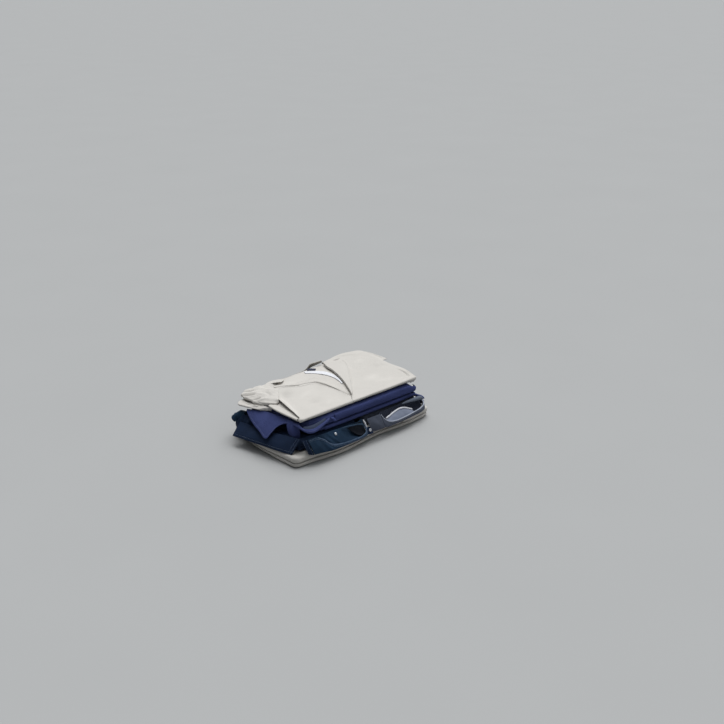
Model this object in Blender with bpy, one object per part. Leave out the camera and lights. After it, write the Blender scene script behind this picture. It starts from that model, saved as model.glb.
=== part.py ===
"""A pile of five folded garments: a stone coat, a petrol jacket, a slate jacket, a navy jacket and,
on top, a stone jacket laid front up.

Each garment is one rounded packet of hidden layers, with the pieces that show laid on it as cloth
walls. Tables are in millimetres, a row for each section, fold or corner, and every row has named
columns. The pile lies along X, its front is -Y, its left end is -X, and it stands on z = 0.
"""

import math
from collections import namedtuple

import bmesh
import bpy
import numpy as np

MM = 0.001
GAP = 0.3 * MM
CLOTH = 1.6 * MM
HEM = 2.4 * MM
BAND_CLOTH = 1.2 * MM
LABEL_CLOTH = 0.8 * MM
ROOMY = 0.7 * MM
PILE_CENTRE = (-11.8 * MM, 7.3 * MM)
RING_POINTS = 44
CORNER_SHARE = 0.5

Plan = namedtuple("Plan", "left right front back corner")
Bulge = namedtuple("Bulge", "x y wide out")
Turn = namedtuple("Turn", "share front right back left")
Swell = namedtuple("Swell", "x y wide deep rise")
Hang = namedtuple("Hang", "along top_out top_z foot_out foot_z belly")
Drop = namedtuple("Drop", "top_x top_y top_z foot_x foot_y foot_z belly")
Spot = namedtuple("Spot", "x y")
Bead = namedtuple("Bead", "x y z radius")
Finish = namedtuple("Finish", "colour roughness metallic")

FINISHES = {
    "stone": Finish((0.62, 0.57, 0.50), 0.9, 0.0),
    "coat": Finish((0.55, 0.52, 0.46), 0.9, 0.0),
    "navy": Finish((0.030, 0.036, 0.115), 0.8, 0.0),
    "petrol": Finish((0.016, 0.040, 0.085), 0.8, 0.0),
    "slate": Finish((0.115, 0.130, 0.170), 0.85, 0.0),
    "lining": Finish((0.24, 0.27, 0.36), 0.8, 0.0),
    "white": Finish((0.75, 0.76, 0.82), 0.7, 0.0),
    "snap": Finish((0.70, 0.71, 0.74), 0.35, 0.8),
    "button": Finish((0.80, 0.80, 0.82), 0.4, 0.0),
}


# ---------------------------------------------------------------- curves and levels

def smooth(t):
    """Ease from 0 to 1, flat at both ends."""
    t = np.clip(t, 0.0, 1.0)
    return t * t * (3.0 - 2.0 * t)


def rows_at(rows, at, knots):
    """Cubic curve through the rows, read at the given places between the knots."""
    slope = np.gradient(rows, knots, axis=0)
    k = np.clip(np.searchsorted(knots, at, side="right") - 1, 0, len(knots) - 2)
    span = (knots[k + 1] - knots[k])[..., None]
    t = (at[..., None] - knots[k][..., None]) / span
    start = (2 * t**3 - 3 * t**2 + 1) * rows[k] + (t**3 - 2 * t**2 + t) * span * slope[k]
    end = (3 * t**2 - 2 * t**3) * rows[k + 1] + (t**3 - t**2) * span * slope[k + 1]
    return start + end


def through(points, count):
    """Smooth curve through the points: `count` points, evenly along its chord length."""
    points = np.asarray(points, float)
    steps = np.linalg.norm(np.diff(points, axis=0), axis=1)
    knots = np.concatenate([[0.0], np.cumsum(steps)])
    return rows_at(points, np.linspace(0.0, knots[-1], count), knots)


def level(base, swells=()):
    """Height of a layer over the plan: a flat base with soft swells and dips."""
    def height(x, y):
        z = base * MM + 0.0 * x
        for s in swells:
            away = ((x - s.x * MM) / (s.wide * MM))**2 + ((y - s.y * MM) / (s.deep * MM))**2
            z = z + s.rise * MM * np.exp(-away)
        return z
    return height


def raised(height, lift):
    """The same level, moved up."""
    return lambda x, y: height(x, y) + lift


# ---------------------------------------------------------------- meshes

def add_object(name, points, faces, finish):
    """A named object with its own material, faces turned outwards."""
    mesh = bpy.data.meshes.new(name)
    shifted = np.asarray(points, float) - np.array([PILE_CENTRE[0], PILE_CENTRE[1], 0.0])
    mesh.from_pydata([tuple(p) for p in shifted], [], faces)
    shell = bmesh.new()
    shell.from_mesh(mesh)
    bmesh.ops.recalc_face_normals(shell, faces=shell.faces)
    bmesh.ops.triangulate(shell, faces=shell.faces)
    shell.to_mesh(mesh)
    shell.free()
    mesh.shade_smooth()
    mesh.set_sharp_from_angle(angle=math.radians(50.0))
    cloth = bpy.data.materials.new(name)
    cloth.use_nodes = True
    shader = cloth.node_tree.nodes["Principled BSDF"]
    look = FINISHES[finish]
    shader.inputs["Base Color"].default_value = (*look.colour, 1.0)
    shader.inputs["Roughness"].default_value = look.roughness
    shader.inputs["Metallic"].default_value = look.metallic
    mesh.materials.append(cloth)
    piece = bpy.data.objects.new(name, mesh)
    bpy.context.scene.collection.objects.link(piece)
    return piece


def grid_normals(grid):
    """Unit normals of a grid: its differences crossed, then averaged with the neighbours."""
    down, along = np.gradient(grid, axis=0), np.gradient(grid, axis=1)
    size = np.linalg.norm(down, axis=2, keepdims=True) * np.linalg.norm(along, axis=2, keepdims=True)
    normal = np.pad(np.cross(down, along) / np.maximum(size, 1e-12), ((1, 1), (1, 1), (0, 0)), "edge")
    rows, cols = grid.shape[:2]
    spread = sum(normal[r:r + rows, c:c + cols] * (4 if r == c == 1 else 1)
                 for r in range(3) for c in range(3))
    return spread / np.maximum(np.linalg.norm(spread, axis=2, keepdims=True), 1e-12)


def wall(name, grid, thick, finish):
    """Closed cloth wall: the grid's points moved half the thickness to each side."""
    rows, cols = grid.shape[:2]
    out = grid_normals(grid) * thick / 2
    points = np.concatenate([(grid + out).reshape(-1, 3), (grid - out).reshape(-1, 3)])
    side = rows * cols
    faces = []
    for r in range(rows - 1):
        for c in range(cols - 1):
            a, b, d, e = r * cols + c, r * cols + c + 1, (r + 1) * cols + c + 1, (r + 1) * cols + c
            faces.append((a, b, d, e))
            faces.append((side + e, side + d, side + b, side + a))
    rim = [(0, c) for c in range(cols - 1)] + [(r, cols - 1) for r in range(rows - 1)]
    rim += [(rows - 1, c) for c in range(cols - 1, 0, -1)] + [(r, 0) for r in range(rows - 1, 0, -1)]
    marks = [r * cols + c for r, c in rim]
    for a, b in zip(marks, marks[1:] + marks[:1]):
        faces.append((b, a, side + a, side + b))
    return add_object(name, points, faces, finish)


def tube(name, beads, count, sides, finish, flat=1.0):
    """Closed soft roll through the beads, each with its own radius; `flat` squeezes its height."""
    line = through([(b.x * MM, b.y * MM, b.z * MM, b.radius * MM) for b in beads], count)
    centre, radius = line[:, :3], line[:, 3]
    ahead = np.gradient(centre, axis=0)
    ahead /= np.linalg.norm(ahead, axis=1, keepdims=True)
    across = np.cross(ahead, (0.0, 0.0, 1.0))
    across /= np.linalg.norm(across, axis=1, keepdims=True)
    above = np.cross(across, ahead)
    turn = np.linspace(0.0, 2 * math.pi, sides, endpoint=False)
    ring = (np.cos(turn)[None, :, None] * across[:, None, :]
            + flat * np.sin(turn)[None, :, None] * above[:, None, :])
    points = (centre[:, None, :] + radius[:, None, None] * ring).reshape(-1, 3)
    faces = [tuple(range(sides - 1, -1, -1))]
    for r in range(count - 1):
        for c in range(sides):
            n = (c + 1) % sides
            faces.append((r * sides + c, r * sides + n, (r + 1) * sides + n, (r + 1) * sides + c))
    faces.append(tuple(range((count - 1) * sides, count * sides)))
    return add_object(name, points, faces, finish)


# ---------------------------------------------------------------- folded packets

class Packet:
    """The hidden layers of one folded garment, as a rounded slab with a layered edge.

    The ring of the plan is a rounded rectangle, with bulges that push its sides out or in. Each turn
    of the edge sets the share of the height and how far that turn lies in from the ring on each side.
    """

    def __init__(self, plan, bulges, turns, low, high):
        self.low = low
        self.high = high
        self.turns = np.array(turns, float)
        self.turns[:, 1:] *= MM
        self.centre = np.array([plan.left + plan.right, plan.front + plan.back]) * MM / 2
        self.ring, self.out = self.outline(plan, bulges)

    @staticmethod
    def outline(plan, bulges):
        """Ring points and outward normals, closer together round the corners."""
        x0, x1, y0, y1 = (v * MM for v in plan[:4])
        r = plan.corner * MM
        arc = np.radians(np.linspace(0.0, 90.0, 31))
        corners = ((x0 + r, y0 + r, 180.0), (x1 - r, y0 + r, 270.0), (x1 - r, y1 - r, 0.0),
                   (x0 + r, y1 - r, 90.0))
        loop = []
        for cx, cy, start in corners:
            turn = math.radians(start) + arc
            loop.append(np.stack([cx + r * np.cos(turn), cy + r * np.sin(turn)], axis=1))
        loop = np.concatenate(loop + [loop[0][:1]])
        steps = np.linalg.norm(np.diff(loop, axis=0), axis=1)
        knots = np.concatenate([[0.0], np.cumsum(steps)])
        fine = np.linspace(0.0, knots[-1], 1201)[:-1]
        dense = np.stack([np.interp(fine, knots, loop[:, i]) for i in (0, 1)], axis=1)
        heading = Packet.headings(dense)
        out = np.stack([np.sin(heading), -np.cos(heading)], axis=1)
        push = sum((b.out * MM * np.exp(-((dense - np.array([b.x, b.y]) * MM)**2).sum(axis=1)
                                        / (b.wide * MM)**2) for b in bulges), np.zeros(len(dense)))
        dense = dense + out * push[:, None]
        heading = Packet.headings(dense)
        turned = np.concatenate([[0.0], np.cumsum(np.abs(np.diff(heading)))])
        share = CORNER_SHARE * turned / turned[-1] + (1 - CORNER_SHARE) * np.linspace(0.0, 1.0, len(dense))
        pick = np.searchsorted(share, np.linspace(0.0, 1.0, RING_POINTS, endpoint=False))
        return dense[pick], np.stack([np.sin(heading), -np.cos(heading)], axis=1)[pick]

    @staticmethod
    def headings(loop):
        """Direction of travel at each point of a closed loop."""
        ahead = np.roll(loop, -4, axis=0) - np.roll(loop, 4, axis=0)
        return np.unwrap(np.arctan2(ahead[:, 1], ahead[:, 0]))

    def column_at(self, spot):
        """The place on the ring nearest a spot, in columns and parts of a column."""
        places = np.arange(0.0, RING_POINTS, 0.05)
        ring = self.between(self.ring, places)
        return places[int(np.argmin(np.linalg.norm(ring - np.array(spot) * MM, axis=1)))]

    @staticmethod
    def between(values, places):
        """Values of the ring's columns, read part way between two of them."""
        first = np.floor(places).astype(int)
        part = (places - first)[:, None]
        return values[first % RING_POINTS] * (1 - part) + values[(first + 1) % RING_POINTS] * part

    def columns(self, start, end):
        """Places on the ring from `start` to `end`, counter-clockwise, through each column."""
        first, last = self.column_at(start), self.column_at(end)
        if last < first:
            last += RING_POINTS
        whole = np.arange(math.ceil(first + 0.12), math.floor(last - 0.12) + 1)
        return np.concatenate([[first], whole, [last]])

    def rim(self, places, t):
        """Points of the edge at turns t (0 under, 1 on top), past them towards the centre."""
        first = np.floor(places).astype(int)
        part = (places - first)[None, :, None]
        return self.whole_rim(first, t) * (1 - part) + self.whole_rim(first + 1, t) * part

    def whole_rim(self, columns, t):
        """Points of the edge at whole columns."""
        columns = columns % RING_POINTS
        t = np.broadcast_to(np.asarray(t, float)[:, None], (len(t), len(columns)))
        ring, out = self.ring[columns][None], self.out[columns][None]
        knots = np.linspace(0.0, 1.0, len(self.turns))
        turn = rows_at(self.turns, np.clip(t, 0.0, 1.0), knots)
        shares = np.stack([np.maximum(-out[..., 1], 0)**2, np.maximum(out[..., 0], 0)**2,
                           np.maximum(out[..., 1], 0)**2, np.maximum(-out[..., 0], 0)**2], axis=-1)
        inset = (shares * turn[..., 1:]).sum(axis=-1, keepdims=True)
        plan = ring - out * inset
        toward = np.clip(np.maximum(t - 1, -t), 0.0, 1.0)[..., None]
        plan = plan + (self.centre - plan) * toward
        x, y = plan[..., 0], plan[..., 1]
        low, high = self.low(x, y), self.high(x, y)
        return np.stack([x, y, low + np.clip(turn[..., 0], 0, 1) * (high - low)], axis=-1)

    def edge_turns(self):
        """The places of the turns, from under to on top."""
        return np.linspace(0.0, 1.0, len(self.turns))

    def body(self, name, finish):
        """The closed solid of the packet."""
        t = np.concatenate([[-0.55], self.edge_turns(), [1.3, 1.65]])
        grid = self.rim(np.arange(RING_POINTS), t)
        rows, cols = grid.shape[:2]
        cx, cy = self.centre
        poles = np.array([[cx, cy, self.low(cx, cy)], [cx, cy, self.high(cx, cy)]])
        points = np.concatenate([grid.reshape(-1, 3), poles])
        faces = []
        for c in range(cols):
            n = (c + 1) % cols
            faces.append((rows * cols, n, c))
            faces.append((rows * cols + 1, (rows - 1) * cols + c, (rows - 1) * cols + n))
            for r in range(rows - 1):
                faces.append((r * cols + c, r * cols + n, (r + 1) * cols + n, (r + 1) * cols + c))
        return add_object(name, points, faces, finish)

    def skin(self, name, start, end, first, last, inward, finish, lift=GAP):
        """Cloth wall laid on the edge from turn `first` to turn `last`, made of its points moved out.

        Past the last turn it runs on over the top by the share `inward` of the way to the centre.
        """
        t = self.edge_turns()[first:last + 1]
        if inward:
            t = np.concatenate([t, [1.0 + inward]])
        grid = self.rim(self.columns(start, end), t)
        return wall(name, self.moved_out(grid, lift + CLOTH / 2), CLOTH, finish)

    def moved_out(self, grid, distance):
        """The points moved away from the packet."""
        normal = grid_normals(grid)
        middle = np.array([*self.centre, grid[..., 2].mean()])
        side = np.sign((normal * (grid - middle)).sum())
        return grid + normal * side * distance


# ---------------------------------------------------------------- sheets

def facing(face, along, out, z):
    """A point on one side of the pile: `along` that side, `out` from the middle, at height z."""
    if face == "front":
        return np.stack([along, -out, z], axis=-1)
    if face == "back":
        return np.stack([along, out, z], axis=-1)
    if face == "left":
        return np.stack([-out, along, z], axis=-1)
    return np.stack([out, along, z], axis=-1)


def hanging(face, sections, down, along):
    """Sheet that hangs on a side of the pile, a section for each row, each from top to foot."""
    rows = through(np.array(sections, float) * MM, along)
    v = np.linspace(0.0, 1.0, down)[:, None]
    place, top_out, top_z, foot_out, foot_z, belly = (rows[None, :, i] for i in range(6))
    out = top_out + (foot_out - top_out) * v + belly * np.sin(math.pi * v)
    z = top_z + (foot_z - top_z) * v
    return facing(face, place + 0 * v, out, z)


def draped(sections, down, along):
    """Sheet of sections that each drop from a top point to a foot point, with an outward belly."""
    rows = through(np.array(sections, float) * MM, along)[None]
    v = np.linspace(0.0, 1.0, down)[:, None, None]
    top, foot = rows[..., 0:3], rows[..., 3:6]
    ahead = np.gradient((top + foot)[0, :, :2] / 2, axis=0)
    side = np.stack([ahead[:, 1], -ahead[:, 0]], axis=-1)
    side /= np.linalg.norm(side, axis=-1, keepdims=True)
    side *= np.sign((side * (top + foot)[0, :, :2]).sum())
    grid = top + (foot - top) * v
    grid[..., :2] += side[None] * rows[..., 6:7] * np.sin(math.pi * v)
    return grid


def ruled(first, last, height, down, along):
    """Sheet laid on a level, ruled between two curves of the plan."""
    a = through(np.array(first, float) * MM, along)[None]
    b = through(np.array(last, float) * MM, along)[None]
    v = np.linspace(0.0, 1.0, down)[:, None, None]
    plan = a + (b - a) * v
    z = height(plan[..., 0], plan[..., 1])
    return np.concatenate([plan, z[..., None]], axis=-1)


def away_from(curve, x, y):
    """Distance in the plan from a curve."""
    line = through(np.array(curve, float) * MM, 60)
    return np.sqrt(((x[..., None] - line[:, 0])**2 + (y[..., None] - line[:, 1])**2).min(axis=-1))


# ---------------------------------------------------------------- levels of the pile

COAT_TOP = level(26.5, [Swell(-190, -100, 50, 40, 2.0), Swell(120, 60, 90, 60, -1.2)])
LOWER_TOP = level(61.0, [Swell(-60, 20, 60, 60, 1.2), Swell(170, -60, 60, 60, -1.2)])
NAVY_TOP = level(102.6, [Swell(0, 30, 120, 60, 0.8)])
STONE_LOW = raised(NAVY_TOP, 2.2 * MM)
STONE_TOP = level(115.5, [Swell(60, 40, 90, 60, 0.8), Swell(-190, -80, 60, 40, -0.8)])


# ---------------------------------------------------------------- coat at the bottom

COAT_PLAN = Plan(-241, 236, -128, 152, 24)
COAT_BULGES = [Bulge(-90, -128, 85, 14), Bulge(150, -128, 75, 8), Bulge(-241, 0, 80, 7),
               Bulge(60, 152, 90, 5), Bulge(236, 20, 60, 4)]
COAT_TURNS = [
    Turn(0.00, 7, 9, 8, 5),
    Turn(0.10, 2.2, 3, 3, 2),
    Turn(0.26, 0.5, 1, 1, 0.5),
    Turn(0.42, 3.0, 3, 2, 0.4),
    Turn(0.50, 7.5, 6, 6, 1.0),
    Turn(0.60, 3.0, 5, 5, 1.0),
    Turn(0.78, 1.6, 3, 4, 1.5),
    Turn(0.92, 3.4, 5, 6, 3.5),
    Turn(1.00, 9, 10, 11, 8),
]


def build_coat():
    """Stone coat, folded flat: its hidden layers, the upper front and the rolled hem below it."""
    coat = Packet(COAT_PLAN, COAT_BULGES, COAT_TURNS, level(0.0), COAT_TOP)
    coat.body("coat_body", "coat")
    coat.skin("coat_front", (-241, 70), (120, -138), 5, 8, 0.12, "coat")
    coat.skin("coat_facing", (128, -136), (238, 50), 5, 8, 0.12, "coat")
    coat.skin("coat_back", (210, 154), (-200, 152), 5, 8, 0.12, "coat")
    coat.skin("coat_hem", (-212, -133), (215, -130), 1, 3, 0.0, "coat")


# ---------------------------------------------------------------- petrol jacket

PETROL_PLAN = Plan(-222, -14, -110, 132, 16)
PETROL_BULGES = [Bulge(-222, 40, 60, -4), Bulge(-120, 132, 60, 3)]
PETROL_TURNS = [
    Turn(0.00, 8, 8, 8, 12),
    Turn(0.14, 3, 3, 3, 7),
    Turn(0.28, 1, 1, 1, 5),
    Turn(0.44, 3, 3, 6, 8),
    Turn(0.60, 1, 1, 1, 4),
    Turn(0.84, 3, 3, 3, 6),
    Turn(1.00, 9, 9, 9, 12),
]
PETROL_SKIRT = [
    Drop(-209, -110, 66, -236, -105, 30.5, 2),
    Drop(-219, -65, 63, -247, -60, 29.5, 4),
    Drop(-232, -10, 59, -258, -6, 28.5, 5),
    Drop(-241, 48, 57, -268, 48, 27.5, 4),
    Drop(-246, 97, 55, -277, 90, 27.0, 2),
]
PETROL_SEAM = [
    Drop(-214, -121, 67, -204, -135, 31.5, 1),
    Drop(-209, -125, 67.5, -199, -140, 31.0, 2),
    Drop(-203.5, -127, 68, -194.5, -143, 30.5, 1),
]
PETROL_FRONT = [
    Drop(-198, -123, 67, -190, -138, 31, 2),
    Drop(-160, -122, 65, -158, -140, 31, 3),
    Drop(-118, -121, 63.5, -118, -143, 30.5, 3),
    Drop(-80, -120, 61, -80, -144, 30, 1),
    Drop(-45, -118, 59, -45, -144, 30, -7),
    Drop(-17, -119, 57, -17, -140, 30, -5),
]
PETROL_POCKET = [
    Drop(-202, -129.5, 68, -193, -144.5, 31, 3),
    Drop(-172, -131, 67, -168, -149, 30.5, 4),
    Drop(-154, -137, 58, -153, -152, 30, 3),
    Drop(-140, -144, 47, -139, -153.5, 29.7, 2),
    Drop(-98, -149, 37.5, -98, -154, 29.2, 1),
    Drop(-60, -149.5, 34.5, -60, -153.5, 29, 0.5),
    Drop(-30, -148, 34.5, -30, -152, 29, 0.5),
    Drop(-15, -144, 38, -14, -149, 29, 0.5),
    Drop(-10.5, -139, 44, -9.5, -144, 29, 0.5),
]
POCKET_RIM = [
    Bead(-84, -125.5, 63.5, 1.4),
    Bead(-52, -128.5, 61.0, 1.8),
    Bead(-27, -131.0, 57.5, 1.9),
    Bead(-15, -133.5, 53.0, 1.8),
    Bead(-11.5, -136.5, 47.5, 1.5),
]
PETROL_SNAP = Bead(-110.5, -130.0, 57.0, 3.0)
PETROL_PLACKET = [
    Hang(-8.0, 122, 62, 142, 30, 1),
    Hang(-5.0, 126, 62, 144, 30, 2),
    Hang(-2.0, 122, 62, 142, 30, 1),
]
PLACKET_BUTTON = Bead(-2.2, -144.8, 38.0, 4.2)
PETROL_CUFF = [
    Bead(-216, 108, 70, 6.0),
    Bead(-228, 114, 66, 9.5),
    Bead(-237, 122, 60, 11.0),
    Bead(-240, 128, 52, 9.5),
    Bead(-238, 128, 45, 6.0),
]
PETROL_SLEEVE = [
    Hang(-190, 138, 57, 144, 31, 3),
    Hang(-140, 140, 59, 149, 30, 5),
    Hang(-80, 140, 59, 148, 30, 3),
    Hang(-30, 138, 58, 144, 30, 4),
]


def disc(name, centre, out, thick, sides, finish):
    """Small round fastener standing out from its centre along `out`."""
    x, y, z, radius = (v * MM for v in centre)
    ahead = np.array(out, float)
    ahead /= np.linalg.norm(ahead)
    across = np.cross(ahead, (0.0, 0.0, 1.0))
    across /= np.linalg.norm(across)
    above = np.cross(across, ahead)
    turn = np.linspace(0.0, 2 * math.pi, sides, endpoint=False)
    ring = np.cos(turn)[:, None] * across + np.sin(turn)[:, None] * above
    steps = ((0.0, 0.9), (0.35, 1.0), (0.75, 0.95), (1.0, 0.6))
    points = np.concatenate([np.array([x, y, z]) + ahead * thick * at + ring * radius * wide
                             for at, wide in steps])
    faces = [tuple(range(sides))]
    for r in range(len(steps) - 1):
        for c in range(sides):
            n = (c + 1) % sides
            faces.append((r * sides + c, r * sides + n, (r + 1) * sides + n, (r + 1) * sides + c))
    faces.append(tuple(range((len(steps) - 1) * sides, len(steps) * sides)))
    return add_object(name, points, faces, finish)


def build_petrol():
    """Petrol jacket: packet, skirt over the left end, front with a gaping pocket, placket, cuff."""
    low = raised(COAT_TOP, CLOTH + 2 * ROOMY)
    petrol = Packet(PETROL_PLAN, PETROL_BULGES, PETROL_TURNS, low, LOWER_TOP)
    petrol.body("petrol_body", "petrol")
    wall("petrol_skirt", draped(PETROL_SKIRT, 6, 12), CLOTH, "petrol")
    wall("petrol_seam", draped(PETROL_SEAM, 6, 5), HEM, "petrol")
    wall("petrol_front", draped(PETROL_FRONT, 7, 14), CLOTH, "petrol")
    wall("petrol_pocket", draped(PETROL_POCKET, 6, 20), CLOTH, "petrol")
    tube("petrol_pocket_rim", POCKET_RIM, 9, 6, "petrol")
    disc("petrol_snap", PETROL_SNAP, (0.0, -0.83, 0.55), 1.6 * MM, 10, "snap")
    wall("petrol_placket", hanging("front", PETROL_PLACKET, 6, 5), CLOTH, "white")
    disc("placket_button", PLACKET_BUTTON, (0.0, -1.0, 0.3), 2.0 * MM, 12, "button")
    tube("petrol_cuff", PETROL_CUFF, 8, 8, "petrol")
    wall("petrol_sleeve", hanging("back", PETROL_SLEEVE, 6, 10), CLOTH, "petrol")


# ---------------------------------------------------------------- slate jacket

SLATE_PLAN = Plan(2, 212, -106, 138, 16)
SLATE_BULGES = [Bulge(120, 138, 60, 3)]
SLATE_TURNS = PETROL_TURNS
SLATE_FRONT = [
    Hang(1.0, 128, 62, 145, 30.5, 3),
    Hang(16, 129, 62.5, 147, 30.5, 4),
    Hang(34, 129, 62.5, 148, 30, 3),
    Hang(49, 128, 62, 148, 30, 2),
]
SLATE_POCKET = [
    Drop(50.5, -130, 61, 50.5, -149, 30, 2),
    Drop(55, -135, 51, 55, -150, 29.5, 2),
    Drop(66, -142, 41, 66, -150.5, 29.2, 1),
    Drop(92, -146, 35.5, 92, -150, 29, 0.5),
    Drop(125, -145, 35, 125, -149, 29, 0.5),
    Drop(160, -142, 36, 160, -146, 29, 0.5),
    Drop(198, -136, 37.5, 198, -141, 29, 0.5),
    Drop(219, -126, 39, 219, -131, 29, 0.5),
    Drop(227, -114, 42, 228, -117, 29, 0.5),
]
SLATE_INNER = [
    Drop(54, -117, 60, 56, -134, 31, 1),
    Drop(90, -116, 60, 90, -131, 31, 0.5),
    Drop(130, -114, 59.5, 130, -129, 31, -1),
    Drop(165, -111, 58, 165, -127, 31, -4),
    Drop(195, -109, 55, 196, -125, 31, -4),
    Drop(214, -107, 52, 217, -117, 31, -2),
]
SLATE_LINING = [
    Hang(70, 131.5, 42.0, 144, 33, 1),
    Hang(85, 130.5, 46.0, 145.5, 32, 1.5),
    Hang(102, 128.5, 50, 145, 32, 2),
    Hang(130, 126, 53, 144, 32, 2),
    Hang(150, 126, 50, 142, 32, 2),
    Hang(166, 127.5, 43.5, 140, 33, 1.5),
    Hang(184, 131, 37, 136, 34, 0.5),
]
SLATE_TOP_FOLD = [
    Bead(138, -121, 62.5, 1.6),
    Bead(170, -120.5, 61.5, 3.2),
    Bead(198, -120.5, 58.5, 4.2),
    Bead(216, -117, 54.0, 4.4),
    Bead(227, -113, 48.5, 3.2),
]
SLATE_TAB_UPPER = [Bead(224, -92, 55, 2.4), Bead(231, -103, 51, 4.0), Bead(237, -112, 47, 2.8)]
SLATE_TAB_LOWER = [Bead(227, -90, 40, 2.4), Bead(234, -100, 37.5, 4.0), Bead(240, -108, 35, 2.8)]
SLATE_END = [
    Hang(-82, 218, 56, 224, 32, 3),
    Hang(-30, 219, 59, 229, 31, 6),
    Hang(40, 219, 58, 228, 31, 3),
    Hang(100, 218, 59, 230, 31, 5),
    Hang(132, 214, 56, 224, 31, 2),
]
SLATE_BACK = [
    Hang(206, 144, 57, 150, 31, 2),
    Hang(150, 145, 59, 156, 30, 4),
    Hang(90, 145, 58, 153, 31, 2),
    Hang(30, 144, 59, 155, 30, 5),
    Hang(-12, 143, 56, 150, 31, 2),
]


def build_slate():
    """Slate jacket: packet, front, gaping pocket with its lining and white binding, ends."""
    low = raised(COAT_TOP, CLOTH + 2 * ROOMY)
    slate = Packet(SLATE_PLAN, SLATE_BULGES, SLATE_TURNS, low, LOWER_TOP)
    slate.body("slate_body", "slate")
    wall("slate_front", hanging("front", SLATE_FRONT, 6, 6), CLOTH, "slate")
    wall("slate_pocket", draped(SLATE_POCKET, 5, 20), CLOTH, "slate")
    wall("slate_inner", draped(SLATE_INNER, 6, 10), CLOTH, "slate")
    wall("slate_lining", hanging("front", SLATE_LINING, 5, 12), CLOTH, "lining")
    arch = [Bead(h.along, -h.top_out, h.top_z + 2.6, 1.1) for h in SLATE_LINING]
    tube("slate_binding", arch, 14, 6, "white")
    tube("slate_top_fold", SLATE_TOP_FOLD, 12, 8, "slate")
    tube("slate_tab_upper", SLATE_TAB_UPPER, 5, 6, "navy")
    tube("slate_tab_lower", SLATE_TAB_LOWER, 5, 6, "navy")
    wall("slate_end", hanging("right", SLATE_END, 5, 9), CLOTH, "slate")
    wall("slate_back", hanging("back", SLATE_BACK, 5, 10), CLOTH, "slate")


# ---------------------------------------------------------------- navy jacket

NAVY_PLAN = Plan(-190, 211, -111, 138, 16)
NAVY_BULGES = [Bulge(-190, -111, 40, -10), Bulge(100, 138, 80, 3)]
NAVY_TURNS = [
    Turn(0.00, 9, 10, 9, 10),
    Turn(0.10, 3.5, 4, 4, 4),
    Turn(0.24, 1, 1, 1, 1),
    Turn(0.38, 3, 3, 3, 3),
    Turn(0.48, 8, 9, 8, 7),
    Turn(0.58, 3.5, 5, 4, 4),
    Turn(0.74, 0.5, 1, 1, 2),
    Turn(0.90, 3, 3.5, 5, 5),
    Turn(1.00, 8, 9, 10, 11),
]
NAVY_COLLAR = [
    Drop(-230, 86, 91, -234, 84, 88, 0),
    Drop(-219, 60, 93.5, -243, 54, 74, 2),
    Drop(-208, 30, 95, -249, 14, 61, 3),
    Drop(-203, -8, 96, -252, -25, 53, 2),
    Drop(-202, -24, 96.5, -239, -28, 65, 2),
    Drop(-201.5, -38, 97, -224, -33, 79, 1),
    Drop(-201, -54, 97.3, -213, -44, 88, 1),
    Drop(-201, -72, 98, -206, -62, 93.5, 0.5),
]
NAVY_TUBE = [
    Bead(-200, -58, 86, 4.0),
    Bead(-205, -70, 83, 8.0),
    Bead(-209, -84, 79, 9.5),
    Bead(-211, -97, 74, 7.0),
]
NAVY_SWAG = [
    Drop(-201, -76, 98.8, -206.5, -78, 94.5, 0.5),
    Drop(-203, -98, 100.5, -208, -100, 96.5, 1),
    Drop(-203, -114, 100.5, -207, -119, 94, 1),
    Drop(-197, -120, 98.5, -199, -127, 87.5, 1.5),
    Drop(-178, -122, 96.5, -178, -130, 84, 2),
    Drop(-156, -121, 99, -156, -128, 89, 2),
    Drop(-136, -118, 101, -136, -124.5, 94, 1),
    Drop(-121, -116, 101.5, -121, -120, 97, 1),
]
NAVY_LINING = [
    Hang(-200, 108, 101.5, 113.5, 98.5, 0.5),
    Hang(-190, 108, 101.5, 116.5, 93, 1.5),
    Hang(-172, 108, 101.5, 117.5, 90, 2),
    Hang(-150, 108, 101.5, 116, 94, 1.5),
    Hang(-130, 108, 101.5, 112.5, 98.5, 0.5),
]
NAVY_KNOT = [Bead(-115, -117, 99.5, 2.6), Bead(-109, -122, 94, 4.6), Bead(-103, -121, 88, 3.0)]
NAVY_BACK_FOLD = [
    Hang(180, 144, 98, 147, 80, 3),
    Hang(110, 146, 100, 152, 76, 6),
    Hang(20, 146, 99, 150, 80, 4),
    Hang(-70, 145, 100, 152, 74, 6),
    Hang(-150, 142, 97, 147, 79, 3),
]
NAVY_END_FOLD = [
    Hang(-60, 215, 96, 220, 74, 2),
    Hang(-10, 216, 97, 223, 70, 4),
    Hang(60, 216, 96, 222, 73, 3),
    Hang(116, 214, 95, 219, 72, 2),
]


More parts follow.
